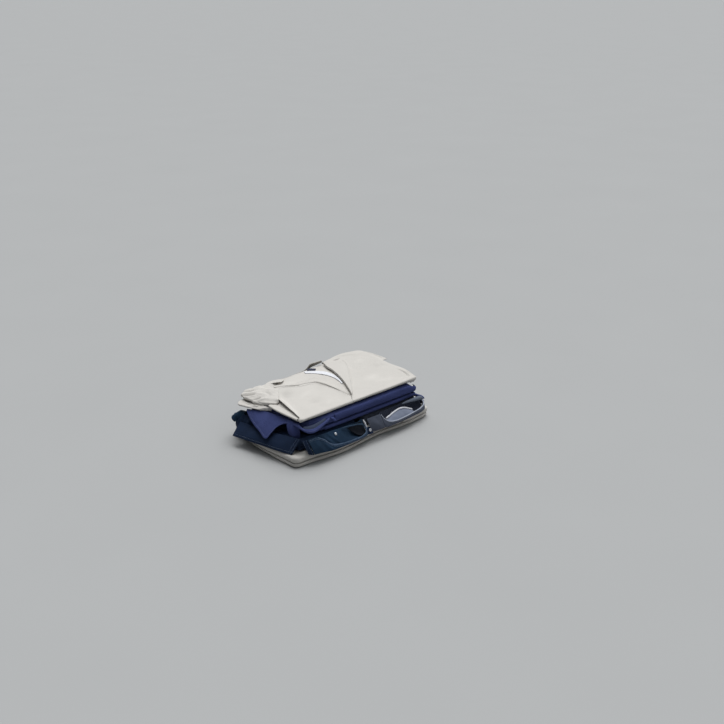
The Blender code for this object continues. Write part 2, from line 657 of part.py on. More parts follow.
def build_navy():
    """Navy jacket: packet, the two rolls of its front, collar point over the left end, swagged hem."""
    navy = Packet(NAVY_PLAN, NAVY_BULGES, NAVY_TURNS, raised(LOWER_TOP, 2.4 * MM), NAVY_TOP)
    navy.body("navy_body", "navy")
    navy.skin("navy_front_upper", (-96, -113), (207, -92), 5, 7, 0.0, "navy", ROOMY)
    navy.skin("navy_front_lower", (-128, -113), (207, -92), 1, 3, 0.0, "navy", ROOMY)
    wall("navy_collar", draped(NAVY_COLLAR, 7, 14), CLOTH, "navy")
    tube("navy_tube_fold", NAVY_TUBE, 7, 8, "navy")
    wall("navy_swag", draped(NAVY_SWAG, 5, 15), CLOTH, "navy")
    wall("navy_lining", hanging("front", NAVY_LINING, 5, 10), CLOTH, "slate")
    tube("navy_knot", NAVY_KNOT, 5, 8, "navy")
    wall("navy_back_fold", hanging("back", NAVY_BACK_FOLD, 5, 10), CLOTH, "navy")
    wall("navy_end_fold", hanging("right", NAVY_END_FOLD, 5, 8), CLOTH, "navy")


# ---------------------------------------------------------------- stone jacket on top

STONE_PLAN = Plan(-203, 226, -103, 150, 20)
STONE_BULGES = [Bulge(-203, 95, 50, -13), Bulge(165, 150, 70, 19), Bulge(226, -103, 32, -8),
                Bulge(-60, 150, 60, -5)]
STONE_TURNS = [
    Turn(0.00, 9, 10, 10, 8),
    Turn(0.16, 3.5, 4, 4, 3),
    Turn(0.33, 0.8, 1, 1, 0.6),
    Turn(0.50, 0.2, 0.2, 4, 1),
    Turn(0.67, 0.8, 1, 1.5, 1.2),
    Turn(0.84, 3.5, 4, 5, 3.5),
    Turn(1.00, 8, 9, 10, 8),
]
V_POINT = Spot(-9, -81)
V_RIGHT = [V_POINT, Spot(8, -50), Spot(27, -13), Spot(53, 53), Spot(62, 83), Spot(66, 108),
           Spot(76, 134)]
V_LEFT = [Spot(-119, 94), Spot(-92, 78), Spot(-66, 63), Spot(-45, 58), Spot(-25, 52), Spot(-18, 35),
          Spot(-15, 1), Spot(-12.5, -40), Spot(-11, -80)]
ARMHOLE = [Spot(-169, 28), Spot(-145, 62), Spot(-119, 94)]
PLACKET_FOOT = Spot(-25, -104)
PLACKET_GAP = 2.2
V_LIFT = 3.0 * MM
V_MARGIN = 10.0 * MM
V_RAMP = 60.0 * MM
LAPEL_EDGE = [Spot(1, -72), Spot(36, -31), Spot(56, -7), Spot(90, 38), Spot(119, 76), Spot(136, 106),
              Spot(140, 122)]
LEFT_COLLAR_EDGE = [Spot(-136, 130), Spot(-122, 121), Spot(-108, 112), Spot(-96, 110)]
LEFT_COLLAR_BACK = [Spot(-126, 137), Spot(-110, 140), Spot(-92, 136), Spot(-74, 125)]
BAND_UPPER = [Spot(5, 136), Spot(22, 126), Spot(38, 110), Spot(50, 88), Spot(51, 62), Spot(44, 32),
              Spot(31, 2)]
BAND_LOWER = [Spot(0, 124), Spot(14, 110), Spot(27, 92), Spot(35, 72), Spot(38, 50), Spot(35, 26),
              Spot(27, 0)]
LABEL_NEAR = [Spot(17, 137.5), Spot(33, 121)]
LABEL_FAR = [Spot(27, 147), Spot(44, 130)]
STONE_HEM = [Drop(232, 57, 112.0, 254, 61, 111.0, 0), Drop(233, 86, 112.3, 252, 89, 111.4, 0),
             Drop(236, 114, 112.6, 249, 117, 111.8, 0), Drop(237, 140, 112.8, 243, 142, 112.2, 0)]
COLLAR_LINE = [Drop(82, 152, 125.5, 80, 150, 121.0, 0), Drop(60, 157, 123.5, 59, 153, 117.0, 0),
               Drop(45, 159, 121.5, 44, 156.5, 113, 0), Drop(36, 159, 114.5, 35, 157.5, 107, 0),
               Drop(24, 158.5, 109.0, 24, 158, 101, 0), Drop(4, 157, 107.8, 4, 158, 99.5, 0),
               Drop(-40, 153, 107.5, -40, 154, 99, 0), Drop(-84, 154, 107.5, -84, 154, 99, 0)]
SLEEVE_HIGH = 120.2 * MM
SLEEVE_PUFF = 2.0 * MM
SLEEVE_DROOP = 3.5 * MM
SLEEVE_LOW = 107.5 * MM
SLEEVE_LIFT = 10.2 * MM
SLEEVE_ROLL = 5.0 * MM
SLEEVE_TAIL = 4.0 * MM
CUFF_HIGH = 104.8 * MM
CUFF_LOW = 98.5
CUFF_SLOPE = 0.8 * MM
CUFF_ROLL = 3.0 * MM
COLLAR_LEFT_LEVEL = 121.0
SLEEVE_SEAM = [Spot(-171, 30), Spot(-147, 64), Spot(-121, 96), Spot(-114, 106), Spot(-110, 112)]
SLEEVE_EDGE = [Spot(-192, 33), Spot(-209, 60), Spot(-217, 90), Spot(-209, 122), Spot(-150, 138)]
CUFF_INNER = [Spot(-208, 30), Spot(-210, 58), Spot(-211, 86), Spot(-209, 108), Spot(-204, 126)]
CUFF_EDGE = [Spot(-216, 24), Spot(-230, 46), Spot(-240, 75), Spot(-241, 104), Spot(-224, 130)]


def front_height(x, y):
    """Middle of the two fronts: on the packet, riding up over the inner back near the opening."""
    near = np.minimum(away_from(V_RIGHT, x, y), away_from(V_LEFT, x, y))
    return STONE_TOP(x, y) + ROOMY + CLOTH / 2 + V_LIFT * (1 - smooth((near - V_MARGIN) / V_RAMP))


def front_panel(name, packet, edge, start, end, top_rows, under):
    """A front: ruled from the opening's edge to the packet's rim, then turned round and under it."""
    columns = packet.columns(start, end)
    rim = packet.rim(columns, under)
    turned = packet.moved_out(rim, ROOMY + CLOTH / 2)
    inner = through(np.array(edge, float) * MM, len(columns))[None]
    v = np.linspace(0.0, 1.0, top_rows)[:-1, None, None]
    plan = inner + (turned[:1, :, :2] - inner) * v
    blend = v[..., 0]**3
    z = front_height(plan[..., 0], plan[..., 1]) * (1 - blend) + turned[:1, :, 2] * blend
    laid = np.concatenate([plan, z[..., None]], axis=-1)
    return wall(name, np.concatenate([laid, turned]), CLOTH, "stone")


def folded_over(seam, edge, top, under, roll, rows, along, tail):
    """A layer that runs from its seam out to an edge, turns round it and comes back underneath."""
    a = through(np.array(seam, float) * MM, along)[None]
    b = through(np.array(edge, float) * MM, along)[None]
    v = np.linspace(0.0, 1.0, rows)[:, None, None]
    plan = a + (b - a) * v
    upper = np.concatenate([plan, top(plan[..., 0], plan[..., 1], v[..., 0])[..., None]], axis=-1)
    bottom_z = under(b[..., 0], b[..., 1])
    middle = (upper[-1:, :, 2] + bottom_z) / 2
    half = (upper[-1:, :, 2] - bottom_z) / 2
    heading = (b - a) / np.linalg.norm(b - a, axis=-1, keepdims=True)
    turn = np.radians(np.linspace(90.0, -90.0, 6)[1:])[:, None]
    reach = np.minimum(roll, half)[..., None]
    bend = b + heading * reach * np.cos(turn)[..., None]
    bend = np.concatenate([bend, (middle + half * np.sin(turn))[..., None]], axis=-1)
    back = b - heading * tail
    last = np.concatenate([back, under(back[..., 0], back[..., 1])[..., None]], axis=-1)
    return np.concatenate([upper, bend, last])


def build_stone():
    """Stone jacket, front up: inner back, fronts, lapel, collar, band, label, hem, sleeve, cuff."""
    stone = Packet(STONE_PLAN, STONE_BULGES, STONE_TURNS, STONE_LOW, STONE_TOP)
    stone.body("stone_body", "stone")
    inner_left = [Spot(s.x - 8, s.y - 2) for s in V_LEFT[::-1]] + [Spot(-118, 116), Spot(-96, 130)]
    inner_right = [Spot(s.x + 8, s.y) for s in V_RIGHT[:-1]] + [Spot(78, 134)]
    lining_level = raised(STONE_TOP, ROOMY + CLOTH / 2)
    wall("stone_inner_back", ruled(inner_left, inner_right, lining_level, 6, 12), CLOTH, "stone")
    wrap = stone.edge_turns()[:0:-1]
    front_panel("stone_front_right", stone, V_RIGHT, PLACKET_FOOT, (88, 153), 8, wrap)
    left_edge = ARMHOLE + V_LEFT[1:]
    left_end = Spot(PLACKET_FOOT.x - PLACKET_GAP, PLACKET_FOOT.y)
    front_panel("stone_front_left", stone, left_edge, (-203, -94), left_end, 8, wrap)

    def on_front(x, y):
        return front_height(x, y) + CLOTH + ROOMY

    lapel_root = [Spot(s.x + 1.5, s.y + 1) for s in V_RIGHT]
    wall("stone_lapel", ruled(lapel_root, LAPEL_EDGE, on_front, 5, 12), CLOTH, "stone")
    left_flap = ruled(LEFT_COLLAR_EDGE, LEFT_COLLAR_BACK, level(COLLAR_LEFT_LEVEL), 4, 7)
    wall("stone_collar_left", left_flap, CLOTH, "stone")
    wall("stone_collar", draped(COLLAR_LINE, 4, 12), CLOTH, "stone")
    on_back = raised(STONE_TOP, 2 * ROOMY + CLOTH * 1.5)
    wall("stone_neck_band", ruled(BAND_LOWER, BAND_UPPER, on_back, 3, 12), BAND_CLOTH, "white")
    wall("stone_label", ruled(LABEL_NEAR, LABEL_FAR, on_back, 3, 4), LABEL_CLOTH, "navy")
    wall("stone_hem", draped(STONE_HEM, 4, 7), HEM, "stone")
    stone.skin("stone_back_fold", (-200, 16), (-203, -88), 1, 6, 0.0, "stone", ROOMY)

    def on_packet(x, y):
        corner = 12 * smooth((y / MM - 95) / 22)
        return np.maximum(1 - smooth((y / MM - 34) / 25), smooth((x / MM + 206 + corner) / 18))

    def sleeve_top(x, y, v):
        droop = SLEEVE_DROOP * smooth((v - 0.6) / 0.4) * (1 - on_packet(x, y))
        return SLEEVE_HIGH + SLEEVE_PUFF * np.sin(math.pi * v) - droop

    def sleeve_under(x, y):
        return SLEEVE_LOW + SLEEVE_LIFT * on_packet(x, y)

    sleeve = folded_over(SLEEVE_SEAM, SLEEVE_EDGE, sleeve_top, sleeve_under, SLEEVE_ROLL, 7, 12,
                         SLEEVE_TAIL)
    wall("stone_sleeve", sleeve, CLOTH, "stone")

    def cuff_top(x, y, v):
        return CUFF_HIGH - CUFF_SLOPE * v + 0 * x

    cuff = folded_over(CUFF_INNER, CUFF_EDGE, cuff_top, level(CUFF_LOW), CUFF_ROLL, 4, 12, CUFF_ROLL)
    wall("stone_cuff", cuff, CLOTH, "stone")


def main():
    """Clear the scene and build the five garments from the floor up."""
    for stale in list(bpy.data.objects):
        bpy.data.objects.remove(stale, do_unlink=True)
    build_coat()
    build_petrol()
    build_slate()
    build_navy()
    build_stone()


main()
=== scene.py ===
"""Dresses the pile of five folded garments in cloth: a stone coat, a petrol jacket, a slate jacket, a
navy jacket and, on top, a stone jacket laid front up.

Tables are in millimetres along the pile (x), from front to back (y) and up (z), a named row for each
section, fold or corner. Surfaces are grids worked out from the tables with whole numpy arrays.
"""

import logging
import math
from dataclasses import dataclass, field, replace
from enum import Enum
from typing import Callable, NamedTuple, Optional, Sequence

import bpy
import numpy as np
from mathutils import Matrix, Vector


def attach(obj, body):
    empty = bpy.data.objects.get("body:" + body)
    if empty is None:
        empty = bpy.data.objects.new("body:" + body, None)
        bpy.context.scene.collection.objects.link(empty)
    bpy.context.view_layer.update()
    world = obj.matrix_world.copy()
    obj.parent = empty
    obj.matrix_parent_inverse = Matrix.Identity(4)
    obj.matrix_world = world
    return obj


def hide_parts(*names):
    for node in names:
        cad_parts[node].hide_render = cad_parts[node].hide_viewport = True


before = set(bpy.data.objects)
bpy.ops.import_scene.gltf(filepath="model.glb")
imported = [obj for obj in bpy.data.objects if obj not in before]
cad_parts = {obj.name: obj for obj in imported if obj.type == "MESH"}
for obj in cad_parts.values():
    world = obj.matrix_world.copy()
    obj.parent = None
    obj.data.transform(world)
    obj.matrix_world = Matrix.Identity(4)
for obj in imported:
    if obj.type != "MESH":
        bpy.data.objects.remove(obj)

LOG = logging.getLogger("pile")
Array = np.ndarray
Height = Callable[[Array, Array], Array]
Socket = bpy.types.NodeSocket
Colour = tuple[float, float, float]

# Walls and clearances, in metres.
MM = 0.001
GAP = 0.3 * MM
CLOTH = 1.6 * MM
HEM = 2.4 * MM
BAND_CLOTH = 1.2 * MM
LABEL_CLOTH = 0.8 * MM
ROOMY = 0.7 * MM
# Where the tables' origin stands, and the point that every outer face looks away from.
PILE_CENTRE = np.array([-11.8 * MM, 7.3 * MM, 0.0])
HEART = np.array([0.0, 10.0 * MM, 60.0 * MM])
# Grid spacing where cloth is seen from near.
FINE = 1.9 * MM
# Name of the body that every piece rides on.
BODY = "root"
# Seam mark of points far from any seam, in millimetres.
FAR = 9.0
# Random fields: number of waves, range of their lengths as shares, divisor of their sum, and salts.
WAVES = 11
WAVE_LENGTHS = (0.7, 1.6)
WAVE_SUM = 3.3
RIPPLE_SALT, CRUMPLE_SALT, WAVER_SALT, FADE_SALT = 1, 2, 10, 20
# A crease's height at its ends, what its middle adds, and the power of its flank.
CREASE_END, CREASE_SWELL, CREASE_POWER = 0.33, 0.67, 1.7
# Rings of a stitch: places along it in half lengths, heights and radii in thread radii.
STITCH_REACH = np.array([-1.0, -0.6, 0.0, 0.6, 1.0])
STITCH_RISE = np.array([-0.6, 0.3, 0.5, 0.3, -0.6])
STITCH_GIRTH = np.array([0.25, 0.85, 1.0, 0.85, 0.25])
# Rows of a packet's underside, as turns before the first.
UNDER_TURNS = (-0.9, -0.5, -0.2, -0.06)


class Weave(Enum):
    """How a cloth's threads cross."""

    TWILL = "twill"
    PLAIN = "plain"
    TAPE = "tape"


class Edge(Enum):
    """The four edges of a sheet's grid."""

    TOP = "top"
    FOOT = "foot"
    START = "start"
    END = "end"


class Side(Enum):
    """The four sides of the pile: the axis that runs out of each, and its sign."""

    FRONT = (1, -1.0)
    BACK = (1, 1.0)
    LEFT = (0, -1.0)
    RIGHT = (0, 1.0)


class Plan(NamedTuple):
    """Rounded rectangle of a packet."""

    left: float
    right: float
    front: float
    back: float
    corner: float


class Bulge(NamedTuple):
    """Push of the ring's side, out or in."""

    x: float
    y: float
    wide: float
    out: float


class Turn(NamedTuple):
    """One turn of a packet's edge: its share of the height and its inset on each side."""

    share: float
    front: float
    right: float
    back: float
    left: float


class Swell(NamedTuple):
    """Soft rise or dip of a level."""

    x: float
    y: float
    wide: float
    deep: float
    rise: float


class Hang(NamedTuple):
    """Section of a sheet on a side of the pile."""

    along: float
    top_out: float
    top_z: float
    foot_out: float
    foot_z: float
    belly: float


class Drop(NamedTuple):
    """Section of a draped sheet, from its top point to its foot point."""

    top_x: float
    top_y: float
    top_z: float
    foot_x: float
    foot_y: float
    foot_z: float
    belly: float


class Spot(NamedTuple):
    """Point of the plan."""

    x: float
    y: float


class Bead(NamedTuple):
    """Point of a soft roll, with its radius."""

    x: float
    y: float
    z: float
    radius: float


class Crease(NamedTuple):
    """Soft ridge (deep > 0) or trough (deep < 0) between two places of a sheet.

    u runs along the sheet and v down it, both as shares; wide, deep and bow are in millimetres.
    """

    u0: float
    v0: float
    u1: float
    v1: float
    wide: float
    deep: float
    bow: float = 0.0


class Seam(NamedTuple):
    """Row of stitches beside an edge: how far in, and between which shares of the edge."""

    edge: Edge
    inset: float
    start: float = 0.0
    end: float = 1.0


def many(kind: type, *values: Sequence[float]) -> tuple:
    """Table of one kind of row, a row for each set of values in the order of its named columns."""
    return tuple(kind(*row) for row in values)


# ---- curves and levels

def smooth(t: Array) -> Array:
    """Ease from 0 to 1, flat at both ends: 3t^2 - 2t^3."""
    t = np.clip(t, 0.0, 1.0)
    return t * t * (3.0 - 2.0 * t)


def rows_at(rows: Array, at: Array, knots: Array) -> Array:
    """Cubic Hermite curve through the rows, its slopes the central differences of the rows.

    Args:
        rows: One row of values for each knot.
        at: Places to read, between the first and the last knot.
        knots: Increasing places of the rows.

    Returns:
        The values at each place.
    """
    slope = np.gradient(rows, knots, axis=0)
    k = np.clip(np.searchsorted(knots, at, side="right") - 1, 0, len(knots) - 2)
    span = (knots[k + 1] - knots[k])[..., None]
    t = (at[..., None] - knots[k][..., None]) / span
    start = (2 * t**3 - 3 * t**2 + 1) * rows[k] + (t**3 - 2 * t**2 + t) * span * slope[k]
    end = (3 * t**2 - 2 * t**3) * rows[k + 1] + (t**3 - t**2) * span * slope[k + 1]
    return start + end


def walked(line: Array) -> Array:
    """Length walked along a line of points, from 0 at the first."""
    return np.concatenate([[0.0], np.cumsum(np.linalg.norm(np.diff(line, axis=0), axis=1))])


def through(points: Sequence, count: int) -> Array:
    """Smooth curve through the points, read at `count` places, evenly along its chord length."""
    table = np.asarray(points, float)
    knots = walked(table)
    return rows_at(table, np.linspace(0.0, knots[-1], count), knots)


def drawn(points: Sequence, count: int) -> Array:
    """Smooth curve in metres through rows in millimetres."""
    return through(np.array(points, float) * MM, count)


def round_turn(count: int) -> Array:
    """Angles evenly round a full turn, in radians."""
    return np.linspace(0.0, 2 * math.pi, count, endpoint=False)


def evenly(count: int) -> Array:
    """Shares from 0 to 1, evenly."""
    return np.linspace(0.0, 1.0, count)


def unit(vectors: Array) -> Array:
    """The vectors divided by their lengths."""
    return vectors / np.maximum(np.linalg.norm(vectors, axis=-1, keepdims=True), 1e-12)


def travelled(grid: Array, axis: int) -> Array:
    """Length walked along one axis of a grid, from 0 at its first row or column."""
    steps = np.linalg.norm(np.diff(grid, axis=axis), axis=2)
    start = np.zeros_like(np.take(steps, [0], axis=axis))
    return np.concatenate([start, np.cumsum(steps, axis=axis)], axis=axis)


def steps_for(length: float, cell: float = FINE) -> int:
    """How many grid points a length needs."""
    return max(4, int(math.ceil(length / cell)) + 1)


@dataclass(frozen=True)
class Level:
    """Height of a layer over the plan: a flat base with soft swells and dips, each a bell curve."""

    base: float
    swells: tuple[Swell, ...] = ()
    lift: float = 0.0

    def __call__(self, x: Array, y: Array) -> Array:
        """Height in metres at plan points in metres."""
        z = self.base * MM + self.lift + 0.0 * x
        for s in self.swells:
            away = ((x - s.x * MM) / (s.wide * MM))**2 + ((y - s.y * MM) / (s.deep * MM))**2
            z = z + s.rise * MM * np.exp(-away)
        return z

    def raised(self, lift: float) -> "Level":
        """The same level, moved up by metres."""
        return replace(self, lift=self.lift + lift)


# ---- folds of a surface

@dataclass(frozen=True)
class Folds:
    """Creases placed one by one, with a slow ripple and fine crumpling under them.

    ripple and crumple are heights in millimetres; their sizes are wavelengths in millimetres. With
    plan set, the creases' places are millimetres of the plan in place of shares of the sheet.
    """

    creases: tuple[Sequence[float], ...] = ()
    ripple: float = 0.5
    ripple_size: float = 70.0
    crumple: float = 0.0
    crumple_size: float = 22.0
    rib_pitch: float = 0.0
    rib_height: float = 0.0
    seed: int = 1
    plan: bool = False

    def waves(self, points: Array, size: float, salt: int) -> Array:
        """Random smooth field: a sum of plane waves with seeded directions, lengths and phases."""
        dice = np.random.default_rng(self.seed * 101 + salt)
        heading = unit(dice.normal(size=(WAVES, 3)))
        turns = 2 * math.pi / (size * dice.uniform(*WAVE_LENGTHS, WAVES))
        phase = dice.uniform(0.0, 2 * math.pi, WAVES)
        return np.sin(points / MM @ (heading * turns[:, None]).T + phase).sum(axis=-1) / WAVE_SUM

    def rise(self, grid: Array) -> Array:
        """Height of the folds over a grid, in metres.

        A crease is exp(-(d / wide)^1.7), with d the distance from its bowed line and its height
        fading to a third at both ends. The ripple is a random smooth field, and the crumpling one
        minus the size of such a field, which gives ridges with flat hollows between them.

        Args:
            grid: Rows by columns by 3, in metres.

        Returns:
            Rows by columns of heights.
        """
        along, down = travelled(grid, 1) / MM, travelled(grid, 0) / MM
        wide, high = along[:, -1].mean(), down[-1].mean()
        u = along / np.maximum(along[:, -1:], 1e-6) * wide
        v = down / np.maximum(down[-1:], 1e-6) * high
        if self.plan:
            u, v, wide, high = grid[..., 0] / MM, grid[..., 1] / MM, 1.0, 1.0
        rise = self.ripple * self.waves(grid, self.ripple_size, RIPPLE_SALT)
        if self.crumple:
            ridged = 1.0 - 2.0 * np.abs(self.waves(grid, self.crumple_size, CRUMPLE_SALT))
            rise = rise + self.crumple * ridged
        if self.rib_pitch:
            rise = rise + self.rib_height * np.sin(2 * math.pi * u / self.rib_pitch)
        for c in many(Crease, *self.creases):
            ax, ay = c.u0 * wide, c.v0 * high
            bx, by = c.u1 * wide - ax, c.v1 * high - ay
            length = max(math.hypot(bx, by), 1e-6)
            t = np.clip(((u - ax) * bx + (v - ay) * by) / length**2, 0.0, 1.0)
            bow = c.bow * 4 * t * (1 - t)
            px, py = ax + bx * t - by / length * bow, ay + by * t + bx / length * bow
            away = np.hypot(u - px, v - py) / c.wide
            height = c.deep * (CREASE_END + CREASE_SWELL * np.sin(math.pi * t))
            rise = rise + height * np.exp(-away**CREASE_POWER)
        return rise * MM


# ---- finishes

class Shading:
    """Short ways to add nodes to one material and link them."""

    def __init__(self, name: str) -> None:
        """Start a material with its Principled shader.

        Args:
            name: The material's name.
        """
        self.material = bpy.data.materials.new(name)
        self.material.use_nodes = True
        self.tree = self.material.node_tree
        self.shader = self.tree.nodes["Principled BSDF"]

    def put(self, socket: Socket, value: object) -> None:
        """Link a socket to another one, or set its constant."""
        if isinstance(value, Socket):
            self.tree.links.new(value, socket)
        else:
            socket.default_value = value

    def math(self, operation: str, *values: object) -> Socket:
        """A Math node's result for up to three values."""
        node = self.tree.nodes.new("ShaderNodeMath")
        node.operation = operation
        for socket, value in zip(node.inputs, values):
            self.put(socket, value)
        return node.outputs[0]

    def noise(self, place: object, scale: float, detail: float, rough: float = 0.5) -> Socket:
        """Noise from 0 to 1 at a place."""
        node = self.tree.nodes.new("ShaderNodeTexNoise")
        for key, value in (("Vector", place), ("Scale", scale), ("Detail", detail), ("Roughness", rough)):
            self.put(node.inputs[key], value)
        return node.outputs["Fac"]

    def ranged(self, value: object, low: float, high: float, first: float, last: float) -> Socket:
        """Value carried smoothly from low..high to first..last."""
        node = self.tree.nodes.new("ShaderNodeMapRange")
        node.interpolation_type = "SMOOTHSTEP"
        for key, item in zip(("Value", "From Min", "From Max", "To Min", "To Max"),
                             (value, low, high, first, last)):
            self.put(node.inputs[key], item)
        return node.outputs["Result"]

    def blend(self, share: object, first: object, second: object, kind: str = "MIX") -> Socket:
        """Colour between two colours."""
        node = self.tree.nodes.new("ShaderNodeMix")
        node.data_type = "RGBA"
        node.blend_type = kind
        for index, value in ((0, share), (6, first), (7, second)):
            self.put(node.inputs[index], value)
        return node.outputs[2]

    def place(self) -> Socket:
        """Object coordinates."""
        return self.tree.nodes.new("ShaderNodeTexCoord").outputs["Object"]

    def mark(self, name: str) -> Socket:
        """A float kept on the mesh's points."""
        node = self.tree.nodes.new("ShaderNodeAttribute")
        node.attribute_name = name
        return node.outputs["Fac"]

    def flat(self) -> tuple[Socket, Socket]:
        """The cloth's own flat coordinates, in metres along and down it."""
        node = self.tree.nodes.new("ShaderNodeUVMap")
        node.uv_map = "flat"
        parts = self.tree.nodes.new("ShaderNodeSeparateXYZ")
        self.tree.links.new(node.outputs[0], parts.inputs[0])
        return parts.outputs[0], parts.outputs[1]

    def bump(self, height: Socket, distance: float) -> None:
        """Tilt the surface by a height in millimetres."""
        node = self.tree.nodes.new("ShaderNodeBump")
        node.inputs["Strength"].default_value = 1.0
        node.inputs["Distance"].default_value = distance
        self.tree.links.new(height, node.inputs["Height"])
        self.tree.links.new(node.outputs[0], self.shader.inputs["Normal"])


def rgba(colour: Colour) -> tuple[float, float, float, float]:
    """Colour with full alpha."""
    return (*colour, 1.0)


def times(colour: Colour, gain: float) -> tuple[float, float, float, float]:
    """Colour made darker or lighter, with full alpha."""
    return (colour[0] * gain, colour[1] * gain, colour[2] * gain, 1.0)


@dataclass(frozen=True)
class Finish:
    """A material, and the record's slot that it stands in."""

    name: str
    slot: str
    colour: Colour

    def paint(self, s: Shading) -> None:
        """Set out the material's nodes; each kind of finish has its own."""
        raise NotImplementedError

    def material(self) -> bpy.types.Material:
        """The material, made once for each finish."""
        made = bpy.data.materials.get(self.name)
        if made is None:
            shading = Shading(self.name)
            self.paint(shading)
            made = shading.material
        return made


@dataclass(frozen=True)
class ClothFinish(Finish):
    """A woven cloth: colour, thread, fuzz, mottling, sheen, seam marks, painted shade and light on folds."""

    weave: Weave = Weave.TWILL
    thread: float = 0.9
    thread_height: float = 0.05
    contrast: float = 0.22
    mottle: float = 0.10
    fuzz: float = 0.05
    wrinkle: float = 0.25
    wrinkle_scale: float = 55.0
    # Painted shade: how far the colour darkens in the folds' hollows; painted light: how far it lightens on
    # their ridges.
    hollow_shade: float = 0.45
    ridge_light: float = 0.12
    seam_shade: float = 0.35
    roughness: float = 0.88
    sheen: float = 0.25
    sheen_roughness: float = 0.5
    diagonal: float = 0.62
    shades: tuple[float, ...] = (0.55, 0.5, 0.45, 0.4)
    lighter_gain: float = 1.25
    lighter_lift: float = 0.02
    rough_spread: float = 0.05
    mottle_noise: tuple[float, ...] = (14.0, 3.0, 0.55)
    fleck_noise: tuple[float, ...] = (900.0, 2.0, 0.6)
    fuzz_noise: tuple[float, ...] = (330.0, 4.0, 0.65)
    wrinkle_noise: tuple[float, ...] = (5.0, 0.55)
    pucker_noise: tuple[float, ...] = (210.0, 1.0)
    seam_wide: float = 0.28
    seam_deep: float = 0.35
    pucker_wide: float = 1.2
    pucker_high: float = 0.5

    def paint(self, s: Shading) -> None:
        """Nodes of the cloth.

        The weave is a product of two sines of the cloth's own flat coordinates (plain), or a sine of
        their sum over a weaker product (twill), or long ribs across (tape). Colour is the base
        colour, mottled by slow noise, flecked by thread noise, darker where the weave is low, darker
        in the folds' hollows as painted shade, lighter on the folds' ridges as painted light, and
        darker in a thin line along each seam. The bump adds weave, fuzz, fine wrinkles and the
        seam's groove, all in millimetres.

        Args:
            s: The material's shading.
        """
        place = s.place()
        u, v = s.flat()
        turn = 2 * math.pi / (self.thread * MM)
        warp = s.math("SINE", s.math("MULTIPLY", u, turn))
        weft = s.math("SINE", s.math("MULTIPLY", v, turn))
        cross = s.math("MULTIPLY", warp, weft)
        if self.weave is Weave.TWILL:
            diagonal = s.math("SINE", s.math("MULTIPLY", s.math("ADD", u, v), turn * self.diagonal))
            weave = s.math("MULTIPLY_ADD", cross, 0.4, s.math("MULTIPLY", diagonal, 0.6))
        elif self.weave is Weave.TAPE:
            weave = s.math("MULTIPLY_ADD", weft, 0.7, s.math("MULTIPLY", cross, 0.3))
        else:
            weave = cross
        slow = s.noise(place, *self.mottle_noise)
        fleck = s.noise(place, *self.fleck_noise)
        fine = s.noise(place, *self.fuzz_noise)
        wrinkle = s.noise(place, self.wrinkle_scale, *self.wrinkle_noise)
        fold = s.mark("fold")
        rims = (s.math("ABSOLUTE", s.mark(name)) for name in ("rim", "rim_two"))
        off = s.math("MINIMUM", *rims)
        seam = s.ranged(off, 0.0, self.seam_wide, 1.0, 0.0)
        pucker = s.ranged(off, 0.0, self.pucker_wide, 1.0, 0.0)
        colour = s.blend(s.ranged(slow, 0.3, 0.7, 0.0, 1.0), times(self.colour, 1.0 - self.mottle),
                         times(self.colour, 1.0 + self.mottle * 0.6))
        speck, sunk, hollow, sewn = (times(self.colour, gain) for gain in self.shades)
        colour = s.blend(s.ranged(fleck, 0.3, 0.75, 0.0, self.contrast), colour, speck)
        colour = s.blend(s.ranged(weave, -1.0, 0.6, self.contrast, 0.0), colour, sunk)
        # Painted shade: the colour darkens where the folds are low.
        colour = s.blend(s.ranged(fold, -2.2, -0.2, self.hollow_shade, 0.0), colour, hollow)
        lighter = tuple(min(1.0, c * self.lighter_gain + self.lighter_lift) for c in self.colour)
        # Painted light: the colour lightens where the folds are high.
        colour = s.blend(s.ranged(fold, 0.4, 2.4, 0.0, self.ridge_light), colour, rgba(lighter))
        colour = s.blend(s.math("MULTIPLY", seam, self.seam_shade), colour, sewn)
        s.put(s.shader.inputs["Base Color"], colour)
        smoothest, roughest = self.roughness - self.rough_spread, self.roughness + self.rough_spread
        s.put(s.shader.inputs["Roughness"], s.ranged(fine, 0.2, 0.8, smoothest, min(1.0, roughest)))
        s.shader.inputs["Sheen Weight"].default_value = self.sheen
        s.shader.inputs["Sheen Roughness"].default_value = self.sheen_roughness
        s.shader.inputs["Sheen Tint"].default_value = rgba(lighter)
        s.shader.inputs["Specular IOR Level"].default_value = 0.25
        height = s.math("MULTIPLY", weave, self.thread_height)
        height = s.math("MULTIPLY_ADD", fine, self.fuzz, height)
        height = s.math("MULTIPLY_ADD", wrinkle, self.wrinkle, height)
        height = s.math("MULTIPLY_ADD", seam, -self.seam_deep, height)
        gathered = s.math("MULTIPLY", pucker, s.noise(place, *self.pucker_noise))
        height = s.math("MULTIPLY_ADD", gathered, self.pucker_high, height)
        s.bump(height, MM)


@dataclass(frozen=True)
class HardFinish(Finish):
    """A small hard fastener: colour, metal share, roughness and fine scratches."""

    roughness: float
    metallic: float
    coat: float = 0.0

    def paint(self, s: Shading) -> None:
        """Base colour with cloudy noise, roughness with finer noise and a scratched bump."""
        place = s.place()
        cloudy = s.noise(place, 350.0, 3.0)
        fine = s.noise(place, 1400.0, 3.0, 0.7)
        s.put(s.shader.inputs["Base Color"], s.blend(cloudy, times(self.colour, 0.88), rgba(self.colour)))
        rough = s.ranged(fine, 0.25, 0.75, self.roughness * 0.75, self.roughness * 1.25)
        s.put(s.shader.inputs["Roughness"], rough)
        s.shader.inputs["Metallic"].default_value = self.metallic
        s.shader.inputs["Coat Weight"].default_value = self.coat
        s.bump(s.math("MULTIPLY", fine, 0.02), MM)


